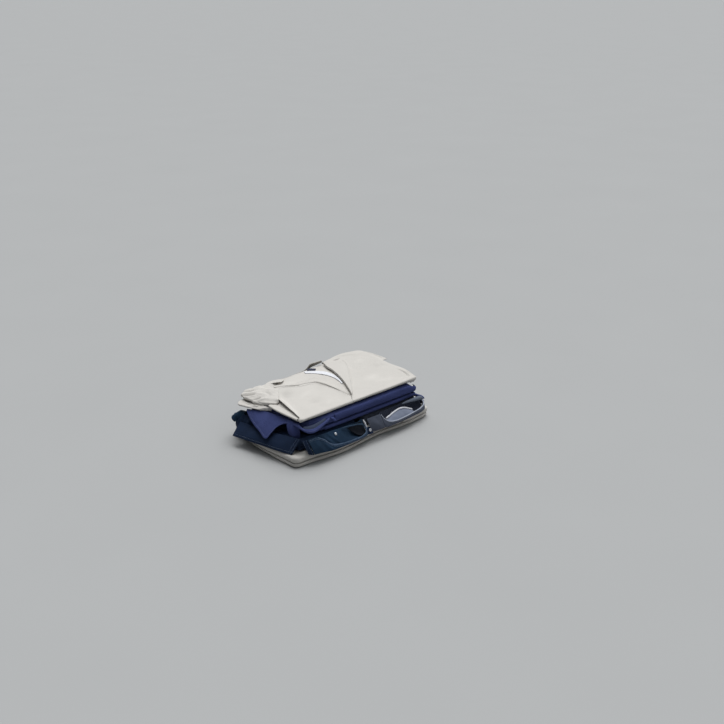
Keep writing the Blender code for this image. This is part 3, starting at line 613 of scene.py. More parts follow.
@dataclass(frozen=True)
class ThreadFinish(Finish):
    """Sewing thread: a twisted matt yarn."""

    def paint(self, s: Shading) -> None:
        """Colour mottled along the yarn, a soft sheen and a fibrous bump."""
        fibre = s.noise(s.place(), 1800.0, 3.0, 0.7)
        s.put(s.shader.inputs["Base Color"], s.blend(fibre, times(self.colour, 0.75), rgba(self.colour)))
        s.shader.inputs["Roughness"].default_value = 0.8
        s.shader.inputs["Sheen Weight"].default_value = 0.3
        s.bump(s.math("MULTIPLY", fibre, 0.04), MM)


STONE = ClothFinish("stone_twill", "stone_cloth", (0.63, 0.605, 0.566), thread=0.8, contrast=0.10,
                    mottle=0.02, wrinkle=0.30, wrinkle_scale=48.0, hollow_shade=0.35, ridge_light=0.3)
COAT = ClothFinish("coat_twill", "coat_cloth", (0.585, 0.565, 0.53), thread=0.9, contrast=0.14,
                   mottle=0.06, wrinkle=0.35, wrinkle_scale=42.0)
NAVY = ClothFinish("navy_twill", "navy_cloth", (0.044, 0.060, 0.180), thread=0.85, contrast=0.30,
                   mottle=0.12, wrinkle=0.30, sheen=0.25, ridge_light=0.3)
PETROL = ClothFinish("petrol_canvas", "petrol_cloth", (0.0078, 0.0215, 0.058), weave=Weave.PLAIN, thread=0.9,
                     contrast=0.30, mottle=0.20, wrinkle=0.35, sheen=0.08, ridge_light=0.35)
SLATE = ClothFinish("slate_brushed", "slate_cloth", (0.063, 0.074, 0.104), weave=Weave.PLAIN, thread=0.9,
                    contrast=0.35, mottle=0.14, fuzz=0.09, wrinkle=0.30, sheen=0.25, ridge_light=0.3)
NAVY_LINING = replace(SLATE, name="navy_lining_cotton", colour=(0.050, 0.066, 0.115))
# Darker rib knit of the wall behind the slate pocket's mouth; its darkness is partly painted shade inside
# the pocket.
SLATE_RIB = replace(SLATE, name="slate_rib_knit_and_shade", colour=(0.026, 0.033, 0.055), sheen=0.08)
# Lighter copy of the slate cloth: painted light on the fold along the top of the slate pocket.
SLATE_LIT_FOLD = replace(SLATE, name="slate_lit_fold", colour=(0.135, 0.158, 0.205))
LABEL = replace(NAVY, name="label_satin", colour=(0.020, 0.024, 0.050), roughness=0.6)
# Near-black copy of the stone cloth: painted shade inside the collar.
NECK_SHADE = replace(STONE, name="neck_painted_shade", colour=(0.125, 0.115, 0.10), sheen=0.05)
# Lighter, bluer copy of the petrol cloth for the front, pocket and cuff, while the skirt and sides keep the
# darker one: lit and shaded copies of one cloth, painted light and shade.
PETROL_LIT_FACE = replace(PETROL, name="petrol_lit_face_canvas", colour=(0.0115, 0.036, 0.076))
# Near-black copy of the petrol cloth: painted shade for the dark inside of the gaping pocket.
PETROL_SHADE = replace(PETROL, name="petrol_void_painted_shade", colour=(0.0015, 0.004, 0.010), sheen=0.0)
PETROL_RIM = replace(PETROL, name="petrol_rim_canvas", colour=(0.035, 0.068, 0.120))
# Lighter copies of the petrol and slate cloths for the rolled edges of the pocket lips.
PETROL_EDGE = replace(PETROL, name="petrol_pale_edge", colour=(0.110, 0.165, 0.260), contrast=0.2)
SLATE_EDGE = replace(SLATE, name="slate_pale_edge", colour=(0.42, 0.455, 0.54), contrast=0.2)
LINING = ClothFinish("pale_lining", "lining_cloth", (0.215, 0.245, 0.325), weave=Weave.PLAIN, thread=0.5,
                     thread_height=0.02, contrast=0.12, mottle=0.06, fuzz=0.02, wrinkle=0.35,
                     roughness=0.6, sheen=0.3)
WHITE = ClothFinish("white_tape", "white_trim", (0.80, 0.81, 0.85), weave=Weave.TAPE, thread=0.8,
                    contrast=0.10, mottle=0.03, wrinkle=0.08, roughness=0.7)
SNAP_METAL = HardFinish("snap_metal", "snap_metal", (0.72, 0.73, 0.76), 0.32, 1.0)
BUTTON_RESIN = HardFinish("button_resin", "button_plastic", (0.50, 0.51, 0.55), 0.35, 0.0, 0.4)
STONE_THREAD = ThreadFinish("stone_thread", "stone_cloth", (0.62, 0.60, 0.56))
NAVY_THREAD = ThreadFinish("navy_thread", "navy_cloth", (0.13, 0.155, 0.32))
PETROL_THREAD = ThreadFinish("petrol_thread", "petrol_cloth", (0.20, 0.27, 0.40))
SLATE_THREAD = ThreadFinish("slate_thread", "slate_cloth", (0.18, 0.20, 0.26))
THREADS = {COAT.name: STONE_THREAD, STONE.name: STONE_THREAD, NAVY.name: NAVY_THREAD,
           PETROL.name: PETROL_THREAD, PETROL_LIT_FACE.name: PETROL_THREAD, SLATE.name: SLATE_THREAD}


# ---- meshes

@dataclass
class Piece:
    """A finished mesh on its way into the scene.

    marks are floats kept on the points, and flat the cloth's own coordinates of every face corner.
    """

    name: str
    points: Array
    faces: list
    marks: dict[str, Array] = field(default_factory=dict)
    flat: Optional[Array] = None

    def add(self, finish: Finish) -> bpy.types.Object:
        """Make the object, dress it and ride it on the pile.

        It stands for the CAD node that its name starts with, if there is one.

        Args:
            finish: Finish whose material it takes.

        Returns:
            The new object.
        """
        mesh = bpy.data.meshes.new(self.name)
        mesh.from_pydata(self.points - PILE_CENTRE, [], self.faces)
        mesh.shade_smooth()
        for key, values in self.marks.items():
            mesh.attributes.new(key, "FLOAT", "POINT").data.foreach_set("value", values.ravel())
        if self.flat is not None:
            layer = mesh.uv_layers.new(name="flat")
            layer.data.foreach_set("uv", self.flat.ravel())
        mesh.materials.append(finish.material())
        made = bpy.data.objects.new(self.name, mesh)
        bpy.context.scene.collection.objects.link(made)
        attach(made, BODY)
        node = self.name.rsplit("_", 1)[0]
        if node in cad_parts:
            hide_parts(node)
        LOG.info("%s: %d points, %d faces", self.name, len(self.points), len(self.faces))
        return made


def grid_normals(grid: Array) -> Array:
    """Unit normals of a grid: down crossed with along, then averaged with the eight neighbours."""
    down, along = np.gradient(grid, axis=0), np.gradient(grid, axis=1)
    size = np.linalg.norm(down, axis=2, keepdims=True) * np.linalg.norm(along, axis=2, keepdims=True)
    normal = np.cross(down, along) / np.maximum(size, 1e-12)
    normal = np.pad(normal, ((1, 1), (1, 1), (0, 0)), "edge")
    rows, cols = grid.shape[:2]
    return unit(sum(normal[r:r + rows, c:c + cols] for r in range(3) for c in range(3)))


def quads(rows: int, cols: int, first: int = 0, ring: bool = False) -> Array:
    """Faces of a grid of points, each (point, below, below and along, along).

    Args:
        rows: Rows of points.
        cols: Columns of points.
        first: Index of the grid's first point.
        ring: Whether the last column joins the first.

    Returns:
        One row of four indices for each face.
    """
    r, c = np.meshgrid(np.arange(rows - 1), np.arange(cols if ring else cols - 1), indexing="ij")
    n = (c + 1) % cols
    corners = np.stack([r * cols + c, (r + 1) * cols + c, (r + 1) * cols + n, r * cols + n], axis=-1)
    return corners.reshape(-1, 4) + first


@dataclass
class Sheet:
    """A cloth wall on a grid of points, with folds, an optional thicker hem and rows of stitches.

    rests_on names the node that it rests on; it is not used.
    """

    name: str
    grid: Array
    folds: Folds = Folds()
    thick: float = CLOTH
    hems: tuple[Edge, ...] = ()
    hem_wide: float = 9.0
    hem_rise: float = 0.5
    seams: tuple[Seam, ...] = ()
    held: str = "folded"
    rests_on: str = ""

    def outward(self, grid: Array) -> tuple[Array, float]:
        """Normals that point away from the heart of the pile, and their sign to the grid's own."""
        normal = grid_normals(grid)
        sign = 1.0 if (normal * (grid - HEART)).sum() >= 0 else -1.0
        return normal * sign, sign

    def from_edge(self, grid: Array, edge: Edge) -> Array:
        """Distance in the cloth of each grid point from one edge, in metres."""
        across = travelled(grid, 1 if edge in (Edge.START, Edge.END) else 0)
        if edge is Edge.END:
            return across[:, -1:] - across
        if edge is Edge.FOOT:
            return across[-1:] - across
        return across

    def rims(self, grid: Array) -> tuple[Array, Array]:
        """Signed distances in millimetres from the nearest seam, for first and for second rows of stitches.

        The sign changes at the line of stitches itself, so that the line stays thin on coarse grids.
        """
        first, second = np.full(grid.shape[:2], FAR), np.full(grid.shape[:2], FAR)
        sewn = []
        for seam in self.seams:
            away = self.from_edge(grid, seam.edge) / MM - seam.inset
            sideways = seam.edge in (Edge.START, Edge.END)
            share = evenly(grid.shape[0 if sideways else 1])
            outside = (share < seam.start) | (share > seam.end)
            away = np.where(outside[:, None] if sideways else outside[None], FAR, away)
            rim = second if seam.edge in sewn else first
            rim[...] = np.where(np.abs(away) < np.abs(rim), away, rim)
            sewn.append(seam.edge)
        return first, second

    def stitches(self, surface: Array, normal: Array, seam: Seam, count: int) -> "Stitches":
        """A row of stitches on the surface beside an edge.

        The row is the line at the seam's inset from the edge, read between grid rows.

        Args:
            surface: Outer surface of the sheet.
            normal: Its outward normals.
            seam: Where the row runs.
            count: Number that tells the sheet's rows of stitches apart.

        Returns:
            The stitches.
        """
        sideways = seam.edge in (Edge.START, Edge.END)
        swap = (1, 0, 2) if sideways else (0, 1, 2)
        laid, up = surface.transpose(swap), normal.transpose(swap)
        if seam.edge in (Edge.END, Edge.FOOT):
            laid, up = laid[::-1], up[::-1]
        away = travelled(laid, 0)
        inset = seam.inset * MM
        k = np.clip((away < inset).sum(axis=0) - 1, 0, len(away) - 2)
        cols = np.arange(laid.shape[1])
        share = (inset - away[k, cols]) / np.maximum(away[k + 1, cols] - away[k, cols], 1e-9)
        share = np.clip(share, 0.0, 1.0)[:, None]
        line = laid[k, cols] * (1 - share) + laid[k + 1, cols] * share
        tilt = up[k, cols] * (1 - share) + up[k + 1, cols] * share
        low, high = int(seam.start * (len(line) - 1)), int(seam.end * (len(line) - 1)) + 1
        return Stitches(f"{self.name}_stitches_{count}", line[low:high], unit(tilt[low:high]))

    def build(self, finish: ClothFinish) -> bpy.types.Object:
        """The outer face is the grid moved out along its normals by the folds' height, half the
        thickness and, within a hem's width of a hemmed edge, the hem's rise. The inner face is moved
        in by half the thickness, and a third line half way round closes each edge in a soft curve.

        Args:
            finish: The cloth's finish.

        Returns:
            The sheet's object.
        """
        normal, sign = self.outward(self.grid)
        rise = self.folds.rise(self.grid)
        grid = self.grid + normal * rise[..., None]
        normal, sign = self.outward(grid)
        rows, cols = grid.shape[:2]
        thicker = np.zeros((rows, cols))
        for edge in self.hems:
            away = self.from_edge(grid, edge)
            thicker = np.maximum(thicker, smooth((self.hem_wide * MM - away) / (1.2 * MM)))
        rims = self.rims(grid)
        outer = grid + normal * (self.thick / 2 + thicker * self.hem_rise * MM)[..., None]
        inner = grid - normal * self.thick / 2
        down, along = unit(np.gradient(grid, axis=0)), unit(np.gradient(grid, axis=1))
        push = np.zeros_like(grid)
        push[0] -= down[0]
        push[-1] += down[-1]
        push[:, 0] -= along[:, 0]
        push[:, -1] += along[:, -1]
        r = np.concatenate([np.arange(rows), np.full(cols - 2, rows - 1), np.arange(rows)[::-1],
                            np.zeros(cols - 2, int)])
        c = np.concatenate([np.zeros(rows, int), np.arange(1, cols - 1), np.full(rows, cols - 1),
                            np.arange(1, cols - 1)[::-1]])
        middle = (outer + inner)[r, c] / 2 + unit(push[r, c]) * self.thick * 0.45
        area = rows * cols
        mark = r * cols + c
        after = np.roll(mark, -1)
        lap = 2 * area + np.arange(len(mark))
        lap_after = np.roll(lap, -1)
        faces = np.concatenate([
            quads(rows, cols), quads(rows, cols, area)[:, ::-1],
            np.stack([after, mark, lap, lap_after], axis=1),
            np.stack([lap_after, lap, area + mark, area + after], axis=1)])
        if sign < 0:
            faces = faces[:, ::-1]
        u, v = travelled(grid, 1), travelled(grid, 0)
        flat = np.stack([u, v], axis=-1).reshape(-1, 2)
        flat = np.concatenate([flat, flat, flat[mark]])
        fold = (rise / MM - np.median(rise / MM)).ravel()
        marks = {key: np.concatenate([rim.ravel(), rim.ravel(), rim.ravel()[mark]])
                 for key, rim in zip(("rim", "rim_two"), rims)}
        marks["fold"] = np.concatenate([fold, -fold, fold[mark]])
        points = np.concatenate([outer.reshape(-1, 3), inner.reshape(-1, 3), middle])
        made = Piece(self.name, points, faces.tolist(), marks, flat[faces.ravel()]).add(finish)
        sewn = [self.stitches(outer, normal, seam, i + 1).build(THREADS.get(finish.name, STONE_THREAD))
                for i, seam in enumerate(self.seams)]
        return made


@dataclass
class Stitches:
    """A row of short thread stitches half sunk in the cloth."""

    name: str
    line: Array
    normal: Array
    pitch: float = 3.4
    length: float = 2.6
    radius: float = 0.30

    def build(self, finish: ThreadFinish) -> bpy.types.Object:
        """Add the row: each stitch is a spindle of five rings of five, its ends dipping in.

        Args:
            finish: The thread's finish.

        Returns:
            The row's object.
        """
        gone = walked(self.line)
        count = max(2, int(gone[-1] / (self.pitch * MM)))
        mid = (np.arange(count) + 0.5) * gone[-1] / count
        reach = self.length * MM / 2 * STITCH_REACH
        at = mid[:, None] + reach[None]
        spine = np.stack([np.interp(at, gone, self.line[:, i]) for i in range(3)], axis=-1)
        up = unit(np.stack([np.interp(at, gone, self.normal[:, i]) for i in range(3)], axis=-1))
        ahead = unit(np.gradient(spine, axis=1))
        across = unit(np.cross(ahead, up))
        spine = spine + up * (self.radius * MM * STITCH_RISE)[None, :, None]
        turn = round_turn(len(STITCH_GIRTH))
        ring = (np.cos(turn)[None, None, :, None] * across[:, :, None]
                + np.sin(turn)[None, None, :, None] * up[:, :, None])
        girth = self.radius * MM * STITCH_GIRTH
        points = (spine[:, :, None] + ring * girth[None, :, None, None]).reshape(-1, 3)
        sides = len(turn)
        starts = np.arange(count)[:, None] * sides**2
        body = (quads(sides, sides, ring=True)[None] + starts[..., None]).reshape(-1, 4).tolist()
        first = starts + np.arange(sides)
        last = starts + (sides - 1) * sides + np.arange(sides)[::-1]
        return Piece(self.name, points, body + first.tolist() + last.tolist()).add(finish)


@dataclass
class Roll:
    """A closed soft roll of cloth through beads, creased along its length."""

    name: str
    beads: tuple[Bead, ...]
    folds: Folds = Folds(ripple=0.15, ripple_size=18.0)
    sides: int = 36
    cell: float = 1.2 * MM
    end_reach: float = 1.2
    end_least: float = 0.02
    end_rows: int = 8

    def build(self, finish: ClothFinish) -> bpy.types.Object:
        """Add the roll: at each place along the line a ring of its radius.

        The ends run together to a soft point, as a turned and pressed edge does.

        Args:
            finish: The cloth's finish.

        Returns:
            The roll's object.
        """
        table = [(b.x * MM, b.y * MM, b.z * MM, b.radius * MM) for b in self.beads]
        length = sum(math.dist(a[:3], b[:3]) for a, b in zip(table, table[1:]))
        count = steps_for(length, self.cell) + self.end_rows
        line = through(table, count)
        centre, radius = line[:, :3], line[:, 3]
        share = evenly(count)
        to_end = np.minimum(share, 1 - share) * length / (radius.mean() * self.end_reach)
        ends = np.sqrt(np.clip(to_end, self.end_least, 1.0))
        ahead = unit(np.gradient(centre, axis=0))
        across = unit(np.cross(ahead, (0.0, 0.0, 1.0)))
        above = np.cross(across, ahead)
        turn = round_turn(self.sides)
        ring = (np.cos(turn)[None, :, None] * across[:, None, :]
                + np.sin(turn)[None, :, None] * above[:, None, :])
        grid = centre[:, None, :] + (radius * ends)[:, None, None] * ring
        rise = self.folds.rise(grid) * ends[:, None]
        grid = grid + unit(ring) * rise[..., None]
        faces = quads(count, self.sides, ring=True)
        u = evenly(self.sides + 1) * 2 * math.pi * radius.mean()
        v = walked(centre)
        spread = np.stack(np.meshgrid(u, v), axis=-1)
        corner = quads(count, self.sides + 1)
        last = (count - 1) * self.sides
        caps = [tuple(range(self.sides)), tuple(range(last + self.sides - 1, last - 1, -1))]
        flat = np.concatenate([spread.reshape(-1, 2)[corner.ravel()], np.zeros((2 * self.sides, 2))])
        far = np.full(grid.shape[:2], FAR)
        marks = {"fold": rise / MM, "rim": far, "rim_two": far}
        made = Piece(self.name, grid.reshape(-1, 3), faces.tolist() + caps, marks, flat).add(finish)
        return made


@dataclass
class Disc:
    """A small round fastener turned about its axis, from a profile of (radius, height) shares."""

    name: str
    centre: Bead
    out: tuple[float, float, float]
    thick: float
    profile: tuple[tuple[float, float], ...]
    sides: int = 40

    def build(self, finish: HardFinish) -> bpy.types.Object:
        """Add the fastener: the profile's rows turned round the axis.

        Args:
            finish: The fastener's finish.

        Returns:
            The fastener's object.
        """
        middle = np.array(self.centre[:3]) * MM
        ahead = unit(np.array(self.out))
        across = unit(np.cross(ahead, (0.0, 0.0, 1.0)))
        above = np.cross(across, ahead)
        turn = round_turn(self.sides)
        ring = np.cos(turn)[:, None] * across + np.sin(turn)[:, None] * above
        rows = through(self.profile, 30)
        grid = (middle + ahead * (rows[:, 1] * self.thick * MM)[:, None, None]
                + ring[None] * (rows[:, 0] * self.centre.radius * MM)[:, None, None])
        faces = quads(len(rows), self.sides, ring=True).tolist()
        faces.append(tuple(range(self.sides)))
        last = (len(rows) - 1) * self.sides
        faces.append(tuple(range(last + self.sides - 1, last - 1, -1)))
        return Piece(self.name, grid.reshape(-1, 3), faces).add(finish)


# ---- grids of cloth

def hanging(side: Side, sections: Sequence[Hang], down: int, along: int) -> Array:
    """Grid that hangs on a side of the pile: straight from top to foot, with a half-sine belly."""
    rows = drawn(sections, along)
    v = evenly(down)[:, None]
    place, top_out, top_z, foot_out, foot_z, belly = (rows[None, :, i] for i in range(6))
    place = place + 0 * v
    grid = np.stack([place, place, top_z + (foot_z - top_z) * v], axis=-1)
    axis, sign = side.value
    grid[..., axis] = sign * (top_out + (foot_out - top_out) * v + belly * np.sin(math.pi * v))
    return grid


def draped(sections: Sequence[Drop], down: int, along: int) -> Array:
    """Grid of sections that each drop from top to foot, with a half-sine belly outwards."""
    rows = drawn(sections, along)[None]
    v = evenly(down)[:, None, None]
    top, foot = rows[..., 0:3], rows[..., 3:6]
    ahead = np.gradient((top + foot)[0, :, :2] / 2, axis=0)
    side = unit(np.stack([ahead[:, 1], -ahead[:, 0]], axis=-1))
    side *= np.sign((side * (top + foot)[0, :, :2]).sum())
    grid = top + (foot - top) * v
    grid[..., :2] += side[None] * rows[..., 6:7] * np.sin(math.pi * v)
    return grid


def between(first: Sequence[Spot], last: Sequence[Spot], shares: Array, along: int) -> tuple[Array, ...]:
    """Two curves of the plan, and the points at shares of the way from one to the other."""
    a, b = drawn(first, along)[None], drawn(last, along)[None]
    return a, b, a + (b - a) * shares


def ruled(first: Sequence[Spot], last: Sequence[Spot], height: Height, down: int, along: int,
          crowd: float = 0.0) -> Array:
    """Grid laid on a level, ruled between two curves of the plan, its rows crowded to them by a share."""
    v = evenly(down)[:, None, None]
    v = v - crowd * np.sin(2 * math.pi * v) / (2 * math.pi)
    plan = between(first, last, v, along)[2]
    return np.concatenate([plan, height(plan[..., 0], plan[..., 1])[..., None]], axis=-1)


def away_from(curve: Sequence[Spot], x: Array, y: Array) -> Array:
    """Distance in the plan from a curve."""
    line = drawn(curve, 60)
    return np.sqrt(((x[..., None] - line[:, 0])**2 + (y[..., None] - line[:, 1])**2).min(axis=-1))


def beyond(curve: Sequence[Spot], x: Array, y: Array) -> Array:
    """Distance in the plan from a curve, positive on the left of its direction and negative on the right."""
    line = drawn(curve, 90)
    ahead = np.gradient(line, axis=0)
    dx, dy = x[..., None] - line[:, 0], y[..., None] - line[:, 1]
    k = (dx**2 + dy**2).argmin(axis=-1)
    dx, dy = (np.take_along_axis(d, k[..., None], -1)[..., 0] for d in (dx, dy))
    return np.hypot(dx, dy) * np.sign(ahead[k, 0] * dy - ahead[k, 1] * dx)


def edge_roll(name: str, drops: Sequence[Drop], radius: float) -> Roll:
    """Thin turned edge along the top of a draped sheet."""
    beads = tuple(Bead(d.top_x, d.top_y, d.top_z, radius) for d in drops)
    return Roll(name, beads, folds=Folds(ripple=0.05, ripple_size=20), sides=14)


@dataclass
class Layers:
    """Grooves between the folded layers of a packet's edge, each wavering along the ring.

    rows holds (share of the height, depth in mm, width as a share of the height, waver as a share).
    """

    rows: tuple[tuple[float, float, float, float], ...]
    seed: int
    waver_size: float = 120.0
    fade_size: float = 80.0

    def rise(self, share: Array, grid: Array) -> Array:
        """Height in metres: minus depth times a bell curve round each wavering groove."""
        field_of = Folds(seed=self.seed)
        rise = np.zeros(grid.shape[:2])
        for i, (at, deep, wide, waver) in enumerate(self.rows):
            plan = grid * np.array([1.0, 1.0, 0.0])
            middle = at + waver * field_of.waves(plan, self.waver_size, WAVER_SALT + i)
            fade = 0.6 + 0.4 * np.clip(field_of.waves(grid, self.fade_size, FADE_SALT + i), -1.0, 1.0)
            rise -= deep * fade * np.exp(-((share - middle) / wide)**2)
        return rise * MM


@dataclass
class Packet:
    """The hidden layers of one folded garment, as a rounded slab with a layered edge.

    The ring is a rounded rectangle whose points are pushed along their normals by each bulge's bell
    curve. Each turn gives the share of the height and the inset from the ring on each side.
    """

    plan: Plan
    bulges: tuple[Bulge, ...]
    turns: tuple[Turn, ...]
    low: Level
    high: Level
    edge_rows: int = 45
    top_rows: int = 16
    top_reach: float = 0.92
    top_crowd: float = 1.3
    fold_ease: float = 0.12
    foot_ease: float = 0.1
    ring: Array = field(init=False)
    out: Array = field(init=False)
    table: Array = field(init=False)
    centre: Array = field(init=False)

    def __post_init__(self) -> None:
        """Work out the ring, its normals, its centre and the turns in metres."""
        self.table = np.array(self.turns, float)
        self.table[:, 1:] *= MM
        p = self.plan
        self.centre = np.array([p.left + p.right, p.front + p.back]) * MM / 2
        self.ring, self.out = self.outline()

    def outline(self) -> tuple[Array, Array]:
        """Evenly spaced ring points and their outward normals."""
        x0, x1, y0, y1 = (v * MM for v in self.plan[:4])
        r = self.plan.corner * MM
        arc = np.radians(np.linspace(0.0, 90.0, 31))
        corners = ((x0 + r, y0 + r, 180.0), (x1 - r, y0 + r, 270.0), (x1 - r, y1 - r, 0.0),
                   (x0 + r, y1 - r, 90.0))
        loop = np.concatenate([np.stack([cx + r * np.cos(math.radians(start) + arc),
                                         cy + r * np.sin(math.radians(start) + arc)], axis=1)
                               for cx, cy, start in corners])
        loop = np.concatenate([loop, loop[:1]])
        knots = walked(loop)
        fine = np.linspace(0.0, knots[-1], 1201)[:-1]
        dense = np.stack([np.interp(fine, knots, loop[:, i]) for i in (0, 1)], axis=1)
        heading = self.headings(dense)
        out = np.stack([np.sin(heading), -np.cos(heading)], axis=1)
        push = sum((b.out * MM * np.exp(-((dense - np.array([b.x, b.y]) * MM)**2).sum(axis=1)
                                        / (b.wide * MM)**2) for b in self.bulges), np.zeros(len(dense)))
        dense = dense + out * push[:, None]
        heading = self.headings(dense)
        return dense, np.stack([np.sin(heading), -np.cos(heading)], axis=1)

    @staticmethod
    def headings(loop: Array) -> Array:
        """Direction of travel at each point of a closed loop."""
        ahead = np.roll(loop, -4, axis=0) - np.roll(loop, 4, axis=0)
        return np.unwrap(np.arctan2(ahead[:, 1], ahead[:, 0]))

    def column_at(self, spot: Sequence[float]) -> int:
        """The ring point nearest a spot of the plan."""
        return int(np.argmin(np.linalg.norm(self.ring - np.array(spot) * MM, axis=1)))

    def columns(self, start: Sequence[float], end: Sequence[float], cell: float) -> Array:
        """Places on the ring from start to end, counter-clockwise, a cell apart."""
        first, last = self.column_at(start), self.column_at(end)
        if last < first:
            last += len(self.ring)
        spacing = np.linalg.norm(self.ring[1] - self.ring[0])
        return np.linspace(first, last, steps_for((last - first) * spacing, cell))

    def rim(self, places: Array, t: Array) -> Array:
        """Points of the edge at turns t: 0 under, 1 on top, and past them towards the centre.

        Args:
            places: Places on the ring, in ring points.
            t: Turns, as shares of the table of turns.

        Returns:
            Turns by places by 3.
        """
        count = len(self.ring)
        first = np.floor(places).astype(int)
        part = (places - first)[:, None]
        ring = self.ring[first % count] * (1 - part) + self.ring[(first + 1) % count] * part
        out = unit(self.out[first % count] * (1 - part) + self.out[(first + 1) % count] * part)
        t = np.broadcast_to(np.asarray(t, float)[:, None], (len(t), len(places)))
        turn = rows_at(self.table, np.clip(t, 0.0, 1.0), evenly(len(self.table)))
        ring, out = ring[None], out[None]
        shares = np.stack([np.maximum(-out[..., 1], 0)**2, np.maximum(out[..., 0], 0)**2,
                           np.maximum(out[..., 1], 0)**2, np.maximum(-out[..., 0], 0)**2], axis=-1)
        plan = ring - out * (shares * turn[..., 1:]).sum(axis=-1, keepdims=True)
        toward = np.clip(np.maximum(t - 1, -t), 0.0, 1.0)[..., None]
        plan = plan + (self.centre - plan) * toward
        x, y = plan[..., 0], plan[..., 1]
        low, high = self.low(x, y), self.high(x, y)
        return np.stack([x, y, low + np.clip(turn[..., 0], 0, 1) * (high - low)], axis=-1)

    def moved_out(self, grid: Array, distance: float) -> Array:
        """The points moved away from the packet."""
        normal = grid_normals(grid)
        middle = np.array([*self.centre, grid[..., 2].mean()])
        side = np.sign((normal * (grid - middle)).sum())
        return grid + normal * side * distance

    def skin(self, start: Sequence[float], end: Sequence[float], first: int, last: int, inward: float,
             lift: float = GAP, cell: float = 2.4 * MM) -> Array:
        """Grid laid on the edge from turn `first` to turn `last`, made of its points moved out.

        Args:
            start: Where it starts on the ring.
            end: Where it ends, counter-clockwise.
            first: Lowest turn that it covers.
            last: Highest turn that it covers.
            inward: Share of the way to the centre that it runs on over the top.
            lift: How far clear of the packet it lies.
            cell: Grid spacing.

        Returns:
            The grid, its first row the lowest.
        """
        turns = len(self.table) - 1
        t = np.linspace(first / turns, last / turns, 5 * (last - first) + 1)
        if inward:
            t = np.concatenate([t, 1.0 + np.linspace(0.0, inward, 9)[1:]])
        grid = self.rim(self.columns(start, end, cell), t)
        return self.moved_out(grid, lift + CLOTH / 2)

    def body(self, name: str, finish: ClothFinish, layers: Layers, folds: Folds, flat_foot: bool = False,
             columns: int = 380) -> bpy.types.Object:
        """Add the packet's closed rounded form, its edge grooved between layers and softly folded.

        Args:
            name: Name of the node that it stands for, which it takes with _cloth after it.
            finish: The cloth's finish.
            layers: Grooves of the edge.
            folds: Folds of the whole form.
            flat_foot: Whether the underside stays flat on the floor.
            columns: Points round the ring.

        Returns:
            The packet's object.
        """
        edge = evenly(self.edge_rows)
        over = 1 + np.linspace(0, self.top_reach, self.top_rows)[1:]**self.top_crowd
        t = np.concatenate([UNDER_TURNS, edge, over])
        grid = self.rim(np.linspace(0, len(self.ring), columns, endpoint=False), t)
        closed = np.concatenate([grid[:, -1:], grid, grid[:, :1]], axis=1)
        normal = grid_normals(closed)[:, 1:-1]
        normal *= np.sign((normal * (grid - np.array([*self.centre, grid[..., 2].mean()]))).sum())
        share = np.clip(t, 0.0, 1.0)[:, None] + 0 * grid[..., 0]
        rise = folds.rise(grid) * smooth(share / self.fold_ease) + layers.rise(share, grid)
        if flat_foot:
            rise = rise * smooth(share / self.foot_ease)
        grid = grid + normal * rise[..., None]
        rows, cols = grid.shape[:2]
        cx, cy = self.centre
        poles = np.array([[cx, cy, self.low(cx, cy)], [cx, cy, self.high(cx, cy)]])
        points = np.concatenate([grid.reshape(-1, 3), poles])
        sides = quads(rows, cols, ring=True)[:, ::-1]
        c = np.arange(cols)
        n = (c + 1) % cols
        under = np.stack([np.full(cols, rows * cols), n, c], axis=1)
        last = (rows - 1) * cols
        over = np.stack([np.full(cols, rows * cols + 1), last + c, last + n], axis=1)
        u = travelled(closed[:, 1:], 1)
        v = walked(grid[:, 0])
        spread = np.stack([u, v[:, None] + 0 * u], axis=-1).reshape(-1, 2)
        around = quads(rows, cols + 1)[:, ::-1]
        plane = points[:, :2]
        flat = np.concatenate([spread[around.ravel()], plane[under.ravel()], plane[over.ravel()]])
        far = np.full(len(points), FAR)
        fold = np.concatenate([(rise / MM).ravel(), [0.0, 0.0]])
        marks = {"fold": fold, "rim": far, "rim_two": far}
        faces = sides.tolist() + under.tolist() + over.tolist()
        return Piece(f"{name}_cloth", points, faces, marks, flat).add(finish)


def folded_over(seam: Sequence[Spot], edge: Sequence[Spot], top: Callable, under: Height, roll: float,
                rows: int, along: int, tail: float) -> Array:
    """Grid of a layer that runs from its seam to an edge, turns round it and comes back underneath.

    Args:
        seam: Curve of the plan where it starts.
        edge: Curve of the plan where it turns.
        top: Height of the upper layer at x, y and the share of the way to the edge.
        under: Height of the lower layer.
        roll: Largest reach of the turn past the edge.
        rows: Rows of the upper layer.
        along: Points along the seam.
        tail: How far it comes back underneath.

    Returns:
        The grid.
    """
    v = evenly(rows)[:, None, None]
    a, b, plan = between(seam, edge, v, along)
    upper = np.concatenate([plan, top(plan[..., 0], plan[..., 1], v[..., 0])[..., None]], axis=-1)
    bottom_z = under(b[..., 0], b[..., 1])
    middle = (upper[-1:, :, 2] + bottom_z) / 2
    half = (upper[-1:, :, 2] - bottom_z) / 2
    heading = unit(b - a)
    turn = np.radians(np.linspace(90.0, -90.0, 13)[1:])[:, None]
    reach = np.minimum(roll, half)[..., None]
    bend = b + heading * reach * np.cos(turn)[..., None]
    bend = np.concatenate([bend, (middle + half * np.sin(turn))[..., None]], axis=-1)
    back = b - heading * evenly(5)[1:, None, None] * tail
    last = np.concatenate([back, under(back[..., 0], back[..., 1])[..., None]], axis=-1)
    return np.concatenate([upper, bend, last])


# ---- levels of the pile

